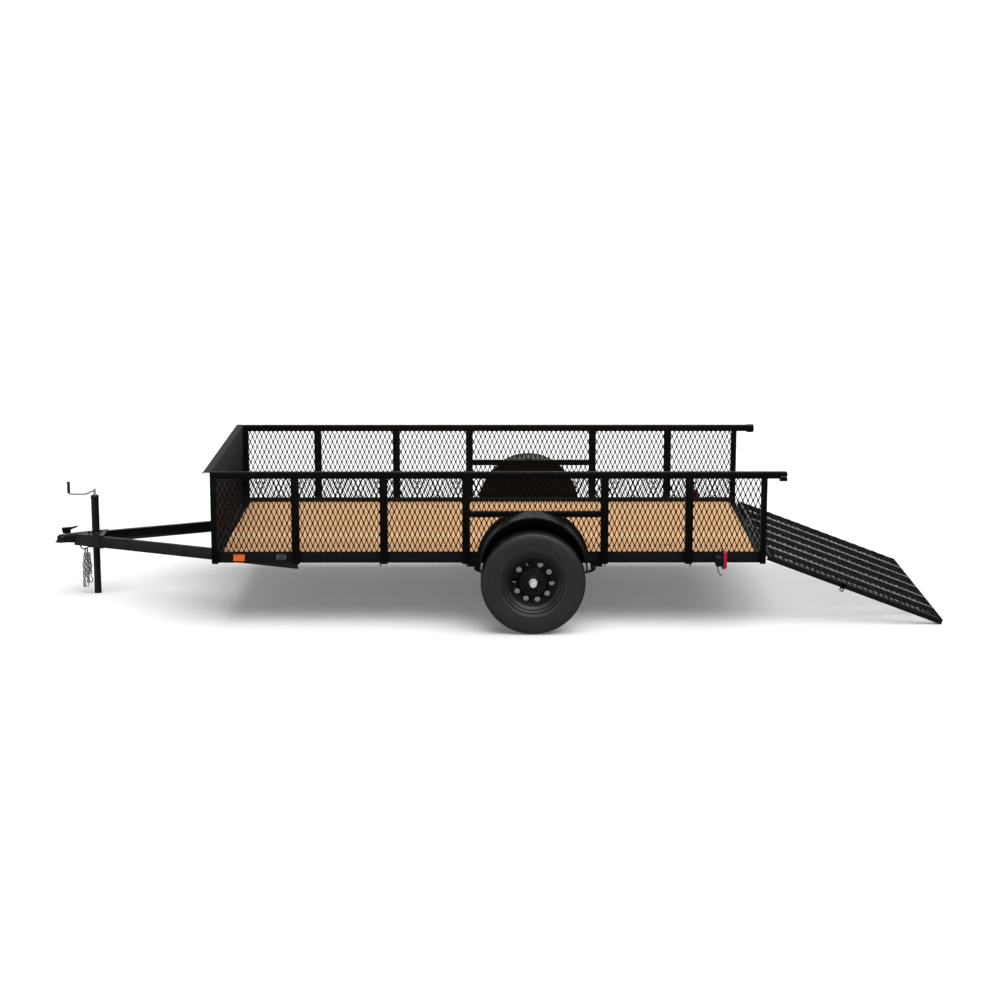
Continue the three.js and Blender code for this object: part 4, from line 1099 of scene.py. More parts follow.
for word, side in SIDES:
    mirror = across(side)
    pack = bmesh.new()
    at_spring = mirror @ move(y=SPRING_Y - SPRING_HALF) @ RUN_Y
    for short, drop in LEAVES:
        put(pack, run_bar(leaf_outline(short, drop), 2 * SPRING_HALF), at_spring)
    eye_profile = [
        (EYE_BORE, -SPRING_HALF), (EYE_RADIUS, -SPRING_HALF), (EYE_RADIUS, SPRING_HALF),
        (EYE_BORE, SPRING_HALF),
    ]
    eyes = [mirror @ move(x, SPRING_Y, EYE_Z) @ RUN_Y for x in (FRONT_EYE, REAR_EYE)]
    put(pack, spun(eye_profile, 28), *eyes)
    for x in (AXLE_X - 150, AXLE_X + 150):
        clip = solid_block(
            (x - 9, SPRING_Y - SPRING_HALF - 3, spring_rise(x) - 2 * LEAF - 3),
            (x + 9, SPRING_Y + SPRING_HALF + 3, spring_rise(x) + 3), 1.5,
        )
        put(pack, clip, mirror)
    finish_piece(
        f"spring_pack_{word}", pack, SPRING_PAINT, "chassis", [f"leaf_spring_{word}"], 25
    )

    clamp = bmesh.new()
    plate_z = PACK_TOP - 3 * LEAF - 8
    for half_long, half_wide, under, thick in ((50, 42, plate_z, 8), (45, 22, PACK_TOP, 9)):
        low = (AXLE_X - half_long, SPRING_Y - half_wide, under)
        high = (AXLE_X + half_long, SPRING_Y + half_wide, under + thick)
        put(clamp, solid_block(low, high, 2), mirror)
    bow = AXLE_RADIUS + 6
    path = [(-bow, 0, plate_z - AXLE_Z - 20), (-bow, 0, 0)]
    path += [(-bow * math.cos(math.pi * k / 12), 0, bow * math.sin(math.pi * k / 12)) for k in range(1, 12)]
    path += [(bow, 0, 0), (bow, 0, plate_z - AXLE_Z - 20)]
    beside = SPRING_HALF + 7
    seats = [mirror @ move(AXLE_X, SPRING_Y + shift, AXLE_Z) for shift in (-beside, beside)]
    put(clamp, bent_rod(path, 5.5, 12), *seats)
    head_down = turn_about("X", 180)
    nuts = [seat @ move(x, 0, plate_z - AXLE_Z) @ head_down for seat in seats for x in (-bow, bow)]
    put(clamp, hex_bolt(17), *nuts)
    finish_piece(f"axle_clamps_{word}", clamp, BOLT_STEEL, "chassis")

    hangers = bmesh.new()
    pins = bmesh.new()
    for end, eye_x, inward in (("front", FRONT_EYE, 1), ("rear", REAR_EYE, -1)):
        low, high = extent(f"{end}_hanger_{word}")
        at = [eye_x + inward * reach for reach in (-62, -60, -16, -10, 10, 24)]
        shape = rounded([
            (at[0], high.z, 1), (at[1], rail_low.z - 30, 4), (at[2], rail_low.z - 30, 4), (at[3], low.z, 6),
            (at[4], low.z, 6), (at[5], high.z, 1),
        ])
        outer = (high.y - low.y) / 2
        middle = abs(low.y + high.y) / 2
        for y in (middle - outer, middle + outer - STEEL):
            put(hangers, run_bar(shape, STEEL), mirror @ move(y=y) @ RUN_Y)
        crown = solid_block((low.x, middle - outer, high.z - STEEL), (high.x, middle + outer, high.z), 1)
        put(hangers, crown, mirror)
        facing = mirror @ move(eye_x, middle + outer, EYE_Z) @ turn_about("X", -90)
        behind = mirror @ move(eye_x, middle - outer, EYE_Z) @ turn_about("X", 90)
        put(pins, hex_bolt(19), facing, behind)
        put(pins, bent_rod([(eye_x, middle - outer, EYE_Z), (eye_x, middle + outer, EYE_Z)], 8, 14), mirror)
    finish_piece(
        f"spring_hangers_{word}", hangers, POWDER_COAT, "chassis",
        [f"front_hanger_{word}", f"rear_hanger_{word}"],
    )
    finish_piece(f"spring_bolts_{word}", pins, BOLT_STEEL, "chassis")

# %% [markdown]
# ## Tyres
# A trailer tyre has a stiff ribbed tread: five rows of blocks with straight grooves between them. The
# carcass is a spun profile with a bulging sidewall, and the blocks stand on it, one row after another,
# each row shifted by half a block so the cross cuts are staggered.

# %% Tyres
tyre_low, tyre_high = extent("tyre_right")
TYRE_RADIUS = (tyre_high.z - tyre_low.z) / 2
WHEEL_Y = (tyre_high.y + tyre_low.y) / 2
TREAD_DEPTH = 7.5
BLOCKS_ROUND = 64
ROWS = ((0, 25, 0), (33, 25, 0.5), (64, 27, 0), (-33, 25, 0.5), (-64, 27, 0))
BEAD = [(212, 92.5), (206, 88.5), (204.8, 80), (192.8, 77.8), (192.8, 66.5)]
carcass_outer = [
    (TYRE_RADIUS - TREAD_DEPTH, 0), (TYRE_RADIUS - TREAD_DEPTH, 66), (TYRE_RADIUS - 9, 78),
    (TYRE_RADIUS - 14, 86), (TYRE_RADIUS - 22, 91.5), (TYRE_RADIUS - 32, 95), (TYRE_RADIUS - 39, 97.2),
    (TYRE_RADIUS - 40, 98.8),
    (TYRE_RADIUS - 43, 99.4), (TYRE_RADIUS - 45, 98.6), (TYRE_RADIUS - 58, 101), (TYRE_RADIUS - 74, 102.4),
    (TYRE_RADIUS - 92, 101.4), (TYRE_RADIUS - 108, 98.4), (TYRE_RADIUS - 114, 98.2), (TYRE_RADIUS - 118, 99),
    (TYRE_RADIUS - 122, 98), (TYRE_RADIUS - 127, 95),
]
carcass = carcass_outer + BEAD + [(240, 80), (262, 88), (290, 88), (318, 80), (330, 50), (331, 0)]

for word, side in SIDES:
    wheel_place = across(side) @ move(AXLE_X, WHEEL_Y, AXLE_Z)
    tyre = bmesh.new()
    other_half = [(r, -y) for r, y in reversed(carcass[1:-1])]
    put(tyre, spun(carcass + other_half, 96), wheel_place @ RUN_Y)
    pitch = 360 / BLOCKS_ROUND
    long = 2 * math.pi * TYRE_RADIUS / BLOCKS_ROUND - 3.5
    for middle, wide, stagger in ROWS:
        block = solid_block(
            (-long / 2, middle - wide / 2, TYRE_RADIUS - 12),
            (long / 2, middle + wide / 2, TYRE_RADIUS - 0.5), 0,
        )
        if abs(middle) > 50:
            reach = [v for v in block.verts if abs(v.co.y) > abs(middle)]
            bmesh.ops.translate(block, vec=(0, math.copysign(8, middle), -5), verts=reach)
        places = [wheel_place @ turn_about("Y", (k + stagger) * pitch) for k in range(BLOCKS_ROUND)]
        put(tyre, block, *places)
    finish_piece(f"tyre_rubber_{word}", tyre, RUBBER, f"wheel_{word}", [f"tyre_{word}"])

# %% [markdown]
# ## Wheels
# A pressed steel wheel is a drop-centre rim with a dished disc welded inside. Ten round holes cool the
# hub and save weight; they are cut with a Boolean, because a punched hole through a curved dish has no
# simple outline.

# %% Wheels
HOLES = 10
FIRST_HOLE = 22.5  # degrees from straight up
HOLE_CIRCLE = 122
HOLE_RADIUS = 18
NUTS = 5
NUT_CIRCLE = 57.15
rim_profile = [
    (204, 84), (203, 86), (199, 86.5), (190, 83), (186, 79), (181, 60), (163, 44), (160.5, 36), (160.5, -22),
    (164, -30), (186, -76), (190, -81), (203, -85), (204, -83), (204, -80.5), (192, -78), (187, -70),
    (168, -28), (165, -20), (165, 34), (168, 40), (186, 58), (191, 77.5), (204, 80.5),
]
disc_profile = [
    (38, 46), (38, 50), (74, 50.5), (80, 53), (88, 52), (95, 44), (103, 27), (112, 20), (124, 18), (140, 19),
    (150, 23), (161, 27), (161, 14), (150, 12), (136, 12), (110, 13), (97, 22), (88, 40), (84, 45), (76, 46),
]


def punched(part, cutter):
    """The part with holes where the cutter is, by a Boolean that is applied at once."""
    objects = []
    for name, mesh_source in (("blank", part), ("punch", cutter)):
        bmesh.ops.recalc_face_normals(mesh_source, faces=mesh_source.faces)
        mesh = bpy.data.meshes.new(name)
        mesh_source.to_mesh(mesh)
        mesh_source.free()
        made = bpy.data.objects.new(name, mesh)
        bpy.context.scene.collection.objects.link(made)
        objects.append(made)
    blank, punch = objects
    cut = blank.modifiers.new("holes", "BOOLEAN")
    cut.operation = "DIFFERENCE"
    cut.solver = "EXACT"
    cut.object = punch
    bpy.context.view_layer.update()
    result = bmesh.new()
    result.from_mesh(blank.evaluated_get(bpy.context.evaluated_depsgraph_get()).to_mesh())
    for made in objects:
        bpy.data.objects.remove(made)
    return result


def disc_cutters():
    tools = bmesh.new()
    for k in range(HOLES):
        angle = math.radians(FIRST_HOLE + 360 / HOLES * k)
        drill = bmesh.new()
        bmesh.ops.create_cone(
            drill, cap_ends=True, segments=24, radius1=HOLE_RADIUS, radius2=HOLE_RADIUS, depth=60
        )
        put(tools, drill, move(HOLE_CIRCLE * math.sin(angle), HOLE_CIRCLE * math.cos(angle), 20))
    return tools


for word, side in SIDES:
    wheel_place = across(side) @ move(AXLE_X, WHEEL_Y, AXLE_Z)
    # Painted light: the barrel's lighter grey stands in for light on the rim.
    barrel = bmesh.new()
    put(barrel, spun(rim_profile, 72), wheel_place @ RUN_Y)
    finish_piece(f"wheel_barrel_{word}", barrel, RIM_PAINTED_LIGHT, f"wheel_{word}", sharp=28)
    disc = bmesh.new()
    put(disc, punched(spun(disc_profile, 60), disc_cutters()), wheel_place @ RUN_Y)
    finish_piece(
        f"wheel_steel_{word}", disc, WHEEL_ENAMEL, f"wheel_{word}", [f"wheel_rim_{word}"], 28
    )

    back = extent("hub_right")[0].y - WHEEL_Y
    drum = bmesh.new()
    put(
        drum,
        spun([
            (17.5, back), (38, back), (42, 30.7), (80, 34.7), (80, 44), (78, 45.5), (40, 45.5), (40, 51),
            (38, 53), (26, 53), (0, 53), (0, 46.7), (17.5, 46.7),
        ], 40),
        wheel_place @ RUN_Y,
    )
    finish_piece(f"hub_drum_{word}", drum, BOLT_STEEL, f"wheel_{word}", [f"hub_{word}"], 28)

    cap = bmesh.new()
    put(
        cap,
        spun([
            (0, 52), (26.5, 52), (26.5, 60), (22.5, 62), (22, 108), (21, 113), (18.5, 116.5), (14, 117.8),
            (8, 118.2), (7, 116.4), (0, 116.4),
        ], 40),
        wheel_place @ RUN_Y,
    )
    finish_piece(f"grease_cap_{word}", cap, CAP_STEEL, f"wheel_{word}", sharp=28)

    nuts = bmesh.new()
    for k in range(NUTS):
        angle = math.radians(360 / NUTS * k)
        spot = wheel_place @ RUN_Y @ move(NUT_CIRCLE * math.sin(angle), NUT_CIRCLE * math.cos(angle), 50.2)
        put(nuts, hex_bolt(20, washer=False), spot @ move(z=-2))
        put(nuts, spun([(0, 0), (6.2, 0), (6.2, 20), (5, 21.5), (0, 21.5)], 14), spot)
    finish_piece(f"wheel_nuts_{word}", nuts, BOLT_STEEL, f"wheel_{word}")

    ring = bmesh.new()
    turns = [2 * math.pi * k / 60 for k in range(60)]
    circle = [(85 * math.cos(a), 52.5, 85 * math.sin(a)) for a in turns]
    put(ring, bent_rod(circle, 1.3, 6, closed=True), wheel_place)
    finish_piece(f"wheel_ring_{word}", ring, EDGE_COAT, f"wheel_{word}", sharp=60)

    valve = bmesh.new()
    stem = [(0, 0), (8, 0), (8, 3), (5, 6), (4.2, 30), (4.8, 31), (4.8, 40), (3.5, 41.5), (0, 41.5)]
    seat = wheel_place @ turn_about("Y", 36) @ move(0, 50, 172) @ turn_about("X", -78)
    put(valve, spun(stem, 14), seat)
    finish_piece(f"wheel_valve_{word}", valve, VINYL, f"wheel_{word}")

# %% [markdown]
# ## Fenders
# Each fender is sheet rolled to a half round with its outer edge turned over a wire. Spinning the sheet's
# section by half a turn gives the roll in one step, and a flat plate closes it towards the bed.

# %% Fenders
fender_low, fender_high = extent("fender_right")
FENDER_X = (fender_low.x + fender_high.x) / 2
FENDER_Z = fender_low.z
PLATE_RADIUS = (fender_high.x - fender_low.x) / 2
OUT = fender_high.y
END_PLATE = 4.3
FENDER_IN = fender_low.y + END_PLATE
SKIN = 350
fender_section = [
    (SKIN - 3, FENDER_IN + GAP), (SKIN, FENDER_IN + GAP), (SKIN, OUT - 6), (SKIN + 3, OUT - 5.6),
    (SKIN + 4.6, OUT - 4), (SKIN + 5, OUT - 2), (SKIN + 4, OUT - 0.6), (SKIN + 1, OUT), (SKIN - 5, OUT),
    (SKIN - 6.8, OUT - 1), (SKIN - 7, OUT - 3), (SKIN - 6, OUT - 4.4), (SKIN - 3, OUT - 6),
]
UNDER_MID_RAIL = MID_RAIL_TOP - MID_RAIL - GAP  # the end plate stops under the short rail
for word, side in SIDES:
    mirror = across(side)
    at_wheel = mirror @ move(FENDER_X, 0, FENDER_Z)
    fender = bmesh.new()
    put(fender, spun(fender_section, 56, math.pi), at_wheel @ RUN_Y)
    open_ends = [e for e in fender.edges if e.is_boundary]
    bmesh.ops.holes_fill(fender, edges=open_ends)
    arch = []
    for k in range(49):
        angle = math.pi * k / 48
        height = min(PLATE_RADIUS * math.sin(angle), UNDER_MID_RAIL - FENDER_Z)
        arch.append((PLATE_RADIUS * math.cos(angle), height))
    put(fender, run_bar(arch, END_PLATE), at_wheel @ move(y=fender_low.y) @ RUN_Y)
    bead_path = []
    for k in range(121):
        angle = math.pi * k / 120
        bead_path.append(((SKIN - 4) * math.cos(angle), FENDER_IN + 1, (SKIN - 4) * math.sin(angle)))
    rises = [1.0 if k % 2 else 0.8 for k in range(121)]
    put(fender, bent_rod(bead_path, 2.6, 6, swell=rises), at_wheel)
    edge_path = []
    for k in range(61):
        angle = math.pi * k / 60
        edge_path.append(((SKIN - 0.5) * math.cos(angle), OUT - 4.5, (SKIN - 0.5) * math.sin(angle)))
    lip = bmesh.new()
    put(lip, bent_rod(edge_path, 4.6, 10), at_wheel)
    finish_piece(f"fender_edge_{word}", lip, EDGE_COAT, "chassis", sharp=50)
    finish_piece(
        f"fender_sheet_{word}", fender, POWDER_COAT, "chassis", [f"fender_{word}"], 40
    )

# %% [markdown]
# ## Lamps
# A lamp is a moulded lens on a thin base in a steel bracket. The lenses are ribbed on their face, which
# is what spreads the light, so each lens is a block whose outline already carries the ribs.


# %% Lamps
def ribbed_lens(low, high, pitch=8, rib=1.2):
    """A lens that faces out along Y, ribbed along X."""
    start, end = low.x, high.x
    face = high.y
    count = max(3, int((end - start - 8) / pitch))
    outline = [(start + 2, low.y), (start, low.y + 2), (start, face - 4), (start + 3, face - 1)]
    for k in range(count):
        left = start + 4 + k * (end - start - 8) / count
        right = start + 4 + (k + 1) * (end - start - 8) / count
        outline += [(left + 0.6, face - rib), ((left + right) / 2, face), (right - 0.6, face - rib)]
    outline += [(end - 3, face - 1), (end, face - 4), (end, low.y + 2), (end - 2, low.y)]
    part = run_bar(outline, high.z - low.z)
    bmesh.ops.translate(part, vec=(0, 0, low.z), verts=part.verts)
    return part


LENS_RIBS = 9
SOCKET_DEEP = 41.7
SOCKET_LOW, SOCKET_HIGH = (986, 433), (1084, 492)  # Y and Z of the moulded socket behind the lamp
ARM_REAR, ARM_OUT, ARM_LOW, ARM_HIGH = 24.9, 998, 436, 488
WIRE_ROUTE = [
    (-24, 992, 436), (-23, 991, 412), (-20, 989, 392), (-13, 986, 372), (-4, 982, 356), (5, 979, 352),
    (10, 978, 358),
]

for word, side in SIDES:
    mirror = across(side)
    low, high = extent("marker_light_right")
    base = bmesh.new()
    put(base, solid_block(low, (high.x, low.y + 6, high.z), 2), mirror)
    finish_piece(f"marker_base_{word}", base, VINYL, "chassis")
    lens = bmesh.new()
    put(lens, ribbed_lens(low + Vector((3, 5.5, 3)), high - Vector((3, 0.2, 3))), mirror)
    finish_piece(f"marker_lens_{word}", lens, AMBER, "chassis", [f"marker_light_{word}"], 20)

    low, high = extent("tail_lamp_right")
    lamp = bmesh.new()
    back = solid_block((high.x - 27, low.y + 3, low.z + 3), (high.x - 7, high.y - 3, high.z - 3), 6, 3)
    put(lamp, back, mirror)
    for k in range(LENS_RIBS):
        z = low.z + 12 + k * (high.z - low.z - 24) / (LENS_RIBS - 1)
        rib = solid_block((high.x - 9, low.y + 8, z - 3), (high.x - 0.4, high.y - 8, z + 3), 2.4, 2)
        put(lamp, rib, mirror)
    face = solid_block((high.x - 9, low.y + 6, low.z + 8), (high.x - 3, high.y - 6, high.z - 8), 2)
    put(lamp, face, mirror)
    finish_piece(f"tail_lens_{word}", lamp, RED, "chassis", [f"tail_lamp_{word}"], 35)
    rim = bmesh.new()
    put(rim, solid_block((low.x, low.y, low.z), (low.x + 6, high.y, high.z), 2.5), mirror)
    finish_piece(f"tail_lamp_base_{word}", rim, VINYL, "chassis")

    box_low, box_high = extent("lamp_housing_right")
    housing = bmesh.new()
    rear = box_high.x
    socket = solid_block((rear - SOCKET_DEEP, *SOCKET_LOW), (rear, *SOCKET_HIGH), 4, 3)
    put(housing, socket, mirror)
    arm = solid_block((rear - ARM_REAR - STEEL, box_low.y, ARM_LOW), (rear - ARM_REAR, ARM_OUT, ARM_HIGH), 1)
    put(housing, arm, mirror)
    finish_piece(
        f"lamp_bracket_{word}", housing, POWDER_COAT, "chassis", [f"lamp_housing_{word}"]
    )
    wiring = bmesh.new()
    put(wiring, bent_rod([(rear + x, y, z) for x, y, z in WIRE_ROUTE], 3.2, 8), mirror)
    finish_piece(f"lamp_wire_{word}", wiring, VINYL, "chassis", sharp=60)

# %% [markdown]
# ## Ramp
# The ramp is welded from angle and filled with the same expanded metal. It is drawn level, and then
# swung down about its hinge pins until its tail rests on the ground.

# %% Ramp
joints = {joint["name"]: joint for joint in frame["joints"]}
print("joints:", sorted(joints))
hinge_place = Vector(joints["ramp_hinge"]["pos_m"]) / MM
HINGE_X = hinge_place.x
HINGE_Z = hinge_place.z
RAMP_LENGTH = 1255
RAMP_HALF = 925
RAMP_UNDER = -29
RAMP_OVER = 5.7
tail_slope = math.asin(HINGE_Z / math.hypot(RAMP_LENGTH, RAMP_UNDER))
ramp_slope = tail_slope - math.atan(-RAMP_UNDER / RAMP_LENGTH)  # puts its tail corner on the ground
on_hinge = move(HINGE_X, 0, HINGE_Z) @ turn_about("Y", math.degrees(ramp_slope))
RAMP_BAR = 38
CROSS_START = 18
MESH_OVER = 9
RIBS = 5
PIN_RADIUS = 8
HINGE_SIDE = 620
LUG_NEAR, LUG_FAR, LUG_DROP, LUG_THICK = 528, 558, 55, 5

ramp = bmesh.new()
side_bar = rounded([
    (RAMP_HALF, RAMP_UNDER, 1), (RAMP_HALF, RAMP_OVER, 2), (RAMP_HALF - RAMP_BAR, RAMP_OVER, 1),
    (RAMP_HALF - RAMP_BAR, RAMP_OVER - STEEL, 2), (RAMP_HALF - STEEL, RAMP_OVER - STEEL, 5),
    (RAMP_HALF - STEEL, RAMP_UNDER, 2),
])
put(ramp, run_bar(side_bar, RAMP_LENGTH), on_hinge @ RUN_X, on_hinge @ FLIP_Y @ RUN_X)
cross_bar = rounded([
    (0, RAMP_UNDER, 1), (0, RAMP_OVER, 2), (RAMP_BAR, RAMP_OVER, 1), (RAMP_BAR, RAMP_OVER - STEEL, 2),
    (STEEL, RAMP_OVER - STEEL, 5), (STEEL, RAMP_UNDER, 2),
])
reach = RAMP_HALF - STEEL
near_end = on_hinge @ move(CROSS_START, -reach, 0) @ RUN_Y
far_end = on_hinge @ move(RAMP_LENGTH, -reach, 0) @ Matrix.Scale(-1, 4, (1, 0, 0)) @ RUN_Y
put(ramp, run_bar(cross_bar, 2 * reach), near_end, far_end)
RIB_OVER = MESH_OVER + 0.6
RIB_FLANGE = 26
RIB_BACK = 2.5
rib_toe = RIB_BACK - RIB_FLANGE
rib = rounded([
    (RIB_BACK, RAMP_UNDER, 1), (RIB_BACK, RIB_OVER, 2), (rib_toe, RIB_OVER, 1),
    (rib_toe, RIB_OVER - STEEL, 2),
    (RIB_BACK - STEEL, RIB_OVER - STEEL, 5), (RIB_BACK - STEEL, RAMP_UNDER, 2),
])
rib_pitch = (2 * RAMP_HALF - RAMP_BAR) / (RIBS + 1)
rib_places = []
for i in range(1, RIBS + 1):
    y = -(RAMP_HALF - RAMP_BAR / 2) + i * rib_pitch
    rib_places.append(on_hinge @ move(CROSS_START + STEEL, y, 0))
ribs = bmesh.new()
put(ribs, run_bar(rib, RAMP_LENGTH - CROSS_START - 2 * STEEL), *[place @ RUN_X for place in rib_places])
finish_piece("ramp_ribs", ribs, EDGE_COAT, "ramp")
# Painted highlight: a pale grey strip on each rib's top stands in for the glint its flange catches when seen
# at a grazing angle.
HIGHLIGHT_INSET = 5
HIGHLIGHT_THICK = 0.5
highlight_strips = bmesh.new()
strip = solid_block(
    (12, HIGHLIGHT_INSET - RIB_FLANGE, RIB_OVER), (RAMP_LENGTH - 50, RIB_BACK - HIGHLIGHT_INSET, RIB_OVER + HIGHLIGHT_THICK), 0
)
put(highlight_strips, strip, *rib_places)
finish_piece("ramp_rib_painted_highlight", highlight_strips, RIB_HIGHLIGHT_PAINT, "ramp")
put(ramp, solid_block((-2, -reach, RAMP_OVER - STEEL), (20, reach, RAMP_OVER), 1.5), on_hinge)
for edge in (-1, 1):
    barrel = spun([(PIN_RADIUS + 0.5, -30), (13, -30), (13, 30), (PIN_RADIUS + 0.5, 30)], 28)
    put(ramp, barrel, on_hinge @ move(y=edge * HINGE_SIDE) @ RUN_Y)
    arm = solid_block((4, edge * HINGE_SIDE - 30, -13), (20, edge * HINGE_SIDE + 30, -7), 1)
    put(ramp, arm, on_hinge)
    lug = rounded([(LUG_NEAR, 0, 1), (LUG_NEAR, -LUG_DROP, 12), (LUG_FAR, -LUG_DROP, 12), (LUG_FAR, 0, 1)], 5)
    hole = bmesh.new()
    middle = move((LUG_NEAR + LUG_FAR) / 2, 13 - LUG_DROP, 2)
    bmesh.ops.create_cone(
        hole, cap_ends=True, segments=20, radius1=7, radius2=7, depth=30, matrix=middle
    )
    at_side = on_hinge @ move(y=RAMP_HALF - LUG_THICK if edge > 0 else -RAMP_HALF) @ RUN_Y
    put(ramp, punched(run_bar(lug, LUG_THICK), hole), at_side)
finish_piece("ramp_angles", ramp, POWDER_COAT, "ramp", ["ramp_frame"])

ramp_sheet = bmesh.new()
sheet_long = RAMP_LENGTH - 2 - (CROSS_START + 1)
sheet_wide = 2 * (RAMP_HALF - 6)
sheet_corner = move(CROSS_START + 1, -sheet_wide / 2, MESH_OVER - STRAND_DEEP / 2 - 0.8)
put(ramp_sheet, expanded_sheet(sheet_wide, sheet_long), on_hinge @ sheet_corner @ RUN_X)
finish_piece("ramp_mesh_sheet", ramp_sheet, MESH_PAINT, "ramp", ["ramp_mesh"])

# %% [markdown]
# ## Hinges and latches
# The ramp turns on pins between lugs welded to the sill. At the top rails, a flat sleeve on each side
# takes a spring pin that holds the ramp's lug when the ramp stands up.

# %% Hinges and latches
for word, side in SIDES:
    mirror = across(side)
    hinge = bmesh.new()
    pin = spun([(0, -42), (7, -42), (PIN_RADIUS, -41), (PIN_RADIUS, 41), (7, 42), (0, 42)], 24)
    put(hinge, pin, mirror @ move(HINGE_X, HINGE_SIDE, HINGE_Z) @ RUN_Y)
    ear = rounded([
        (BED_REAR + GAP, HINGE_Z - 25, 0), (HINGE_X + 4, HINGE_Z - 12, 6), (HINGE_X + 10, HINGE_Z, 6),
        (HINGE_X + 4, HINGE_Z + 12, 6), (BED_REAR + GAP, HINGE_Z + 6, 1),
    ])
    places = [mirror @ move(y=HINGE_SIDE + reach - 4) @ RUN_Y for reach in (-38, 38)]
    put(hinge, run_bar(ear, 8), *places)
    finish_piece(f"hinge_pin_{word}", hinge, POWDER_COAT, "chassis", [f"ramp_hinge_{word}"])

    low, high = extent("ramp_latch_right")
    latch = bmesh.new()
    middle_z = (low.z + high.z) / 2
    sleeve = rounded([
        (low.x, low.z, 3), (high.x, low.z, 3), (high.x, middle_z - 9, 1), (high.x - 16, middle_z - 9, 4),
        (high.x - 16, middle_z + 9, 4), (high.x, middle_z + 9, 1), (high.x, high.z, 3), (low.x, high.z, 3),
    ])
    put(latch, run_bar(sleeve, high.y - low.y), mirror @ move(y=low.y) @ RUN_Y)
    finish_piece(
        f"ramp_latch_sleeve_{word}", latch, FRAME_COAT, "chassis", [f"ramp_latch_{word}"]
    )
    spring_pin = bmesh.new()
    pin_y = high.y + 2
    shaft = [(low.x + 8, pin_y, middle_z), (high.x - 4, pin_y, middle_z)]
    put(spring_pin, bent_rod(shaft, 4.5, 12), mirror)
    handle = [(low.x + 12, pin_y, middle_z), (low.x + 12, pin_y + 7, middle_z - 14)]
    put(spring_pin, bent_rod(handle, 3, 10), mirror)
    finish_piece(f"ramp_latch_pin_{word}", spring_pin, BOLT_STEEL, "chassis")

# %% [markdown]
# ## Maker's plate
# A small foil plate is riveted to the left rail. It is left blank.

# %% Blank plate
plate = bmesh.new()
PLATE_FRONT, PLATE_REAR, PLATE_LOW, PLATE_TOP = BED_FRONT + 420, BED_FRONT + 485, 446, 486
PLATE_THICK = 1.5
PLATE_FACE = -rail_high.y - PLATE_THICK
put(plate, solid_block((PLATE_FRONT, PLATE_FACE, PLATE_LOW), (PLATE_REAR, -rail_high.y, PLATE_TOP), 0.5))
finish_piece("blank_plate", plate, PLATE_FOIL, "chassis")
rivets = bmesh.new()
dome = [(0, 0), (3, 0), (2.6, 1), (1.4, 1.8), (0, 2)]
rivet_z = (PLATE_LOW + PLATE_TOP) / 2
spots = [move(x, PLATE_FACE + 0.1, rivet_z) for x in (PLATE_FRONT + 5, PLATE_REAR - 5)]
put(rivets, spun(dome, 14), *[spot @ turn_about("X", 90) for spot in spots])
finish_piece("plate_rivets", rivets, CAP_STEEL, "chassis")

# %% [markdown]
# ## Floor and light
# A pale seamless floor and a white surround leave only a soft shadow under the bed. The surround is white
# to the camera but dim to everything else, so that the black paint stays black; the light comes from a
# wide soft source above, with a weaker one behind the far side that draws a thin bright line along the
# top edges.

# %% Floor and light
floor_mesh = bmesh.new()
bmesh.ops.create_grid(floor_mesh, x_segments=1, y_segments=1, size=60)
floor_data = bpy.data.meshes.new("floor")
floor_mesh.to_mesh(floor_data)
floor_mesh.free()
floor = bpy.data.objects.new("floor", floor_data)
bpy.context.scene.collection.objects.link(floor)
FLOOR_GLOW = 0.11  # a pale studio floor is lit from all sides, so its shadows never go black
paper, _, _, _ = start_material(
    "paper_white_matt", Roughness=1.0, Specular_IOR_Level=0.0, Base_Color=tint("#efefef"),
    Emission_Color=(1, 1, 1, 1), Emission_Strength=FLOOR_GLOW,
)
floor_data.materials.append(paper)
floor.visible_glossy = False  # black paint would mirror a white floor and turn grey

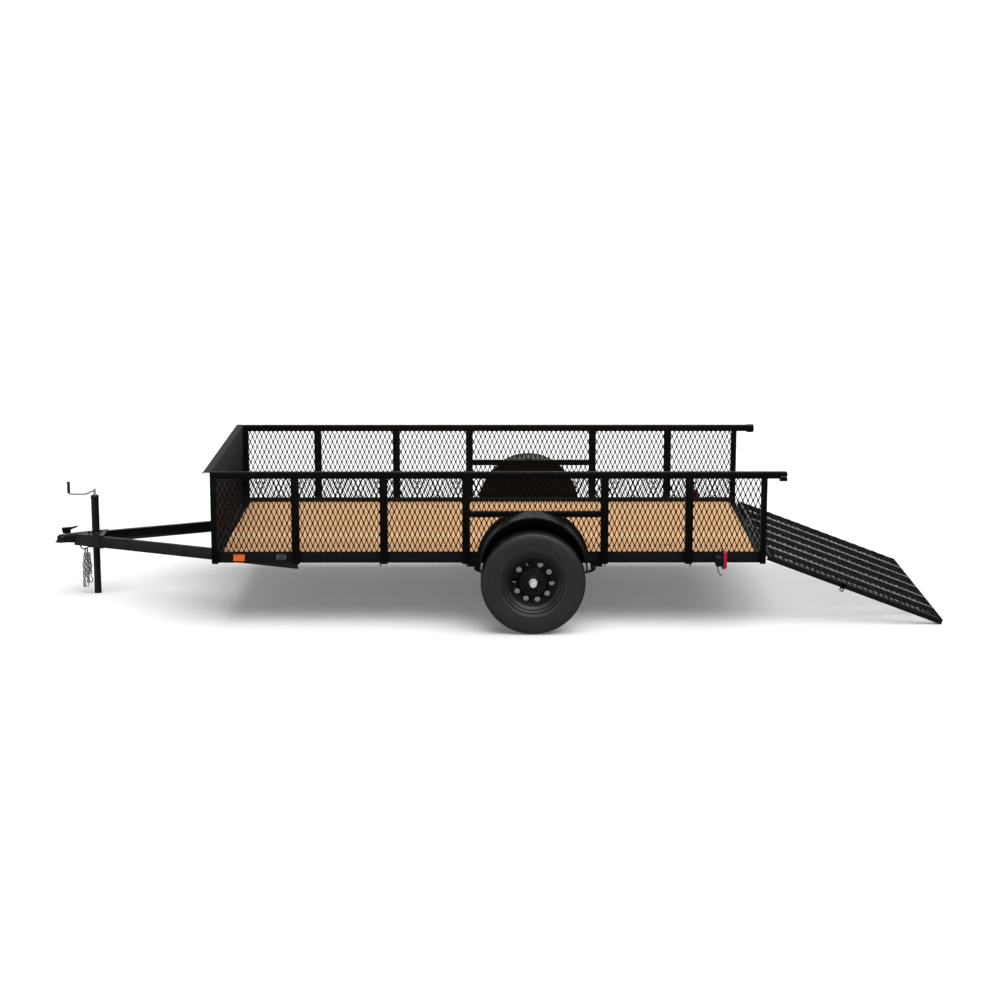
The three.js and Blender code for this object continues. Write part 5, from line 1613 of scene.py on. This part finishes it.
SUN_STRENGTH = 3.3
SUN_WIDTH = 70
SUN_TOWARDS_RIGHT, SUN_TOWARDS_TAIL = 14, 16
sun_data = bpy.data.lights.new("overhead", "SUN")
sun_data.energy = SUN_STRENGTH
sun_data.angle = math.radians(SUN_WIDTH)
sun = bpy.data.objects.new("overhead", sun_data)
sun.rotation_euler = (math.radians(SUN_TOWARDS_RIGHT), math.radians(SUN_TOWARDS_TAIL), 0)
bpy.context.scene.collection.objects.link(sun)


def glow_panel(name, place, towards, size, glow):
    """A lamp that only shows as a reflection; glow is its brightness as a white of 1."""
    data = bpy.data.lights.new(name, "AREA")
    data.shape = "RECTANGLE"
    data.size, data.size_y = size
    data.energy = glow * math.pi * size[0] * size[1]
    panel = bpy.data.objects.new(name, data)
    panel.location = place
    facing = Vector(towards) - Vector(place)
    panel.rotation_euler = facing.to_track_quat("-Z", "Y").to_euler()
    panel.visible_diffuse = False
    panel.visible_camera = False
    bpy.context.scene.collection.objects.link(panel)


glow_panel("panel_behind", (0, 14, 3), (0, 0, 0.8), (22, 5), 1.1)
glow_panel("panel_overhead", (0, -4.5, 7), (0, -1, 0.5), (12, 5), 1.2)
glow_panel("panel_front_left", (-12, -7, 0), (-2, 0, 0.4), (9, 9), 1.0)

world = bpy.data.worlds.new("surround")
world.use_nodes = True
sky = world.node_tree
for leftover in list(sky.nodes):
    sky.nodes.remove(leftover)
seen = add_node(sky, "ShaderNodeBackground", {"Color": (1, 1, 1, 1), "Strength": 1.0})
dim = add_node(sky, "ShaderNodeBackground", {"Color": (1, 1, 1, 1), "Strength": 0.3})
mirrored = add_node(sky, "ShaderNodeBackground", {"Color": (1, 1, 1, 1), "Strength": 0.08})
path = add_node(sky, "ShaderNodeLightPath")
lit = add_node(
    sky, "ShaderNodeMixShader", {0: path.outputs["Is Glossy Ray"], 1: dim.outputs[0], 2: mirrored.outputs[0]}
)
mixed = add_node(
    sky, "ShaderNodeMixShader", {0: path.outputs["Is Camera Ray"], 1: lit.outputs[0], 2: seen.outputs[0]}
)
add_node(sky, "ShaderNodeOutputWorld", {"Surface": mixed.outputs[0]})
bpy.context.scene.world = world
bpy.context.scene.view_settings.view_transform = "Standard"
print("floor, one soft sun and a white surround")
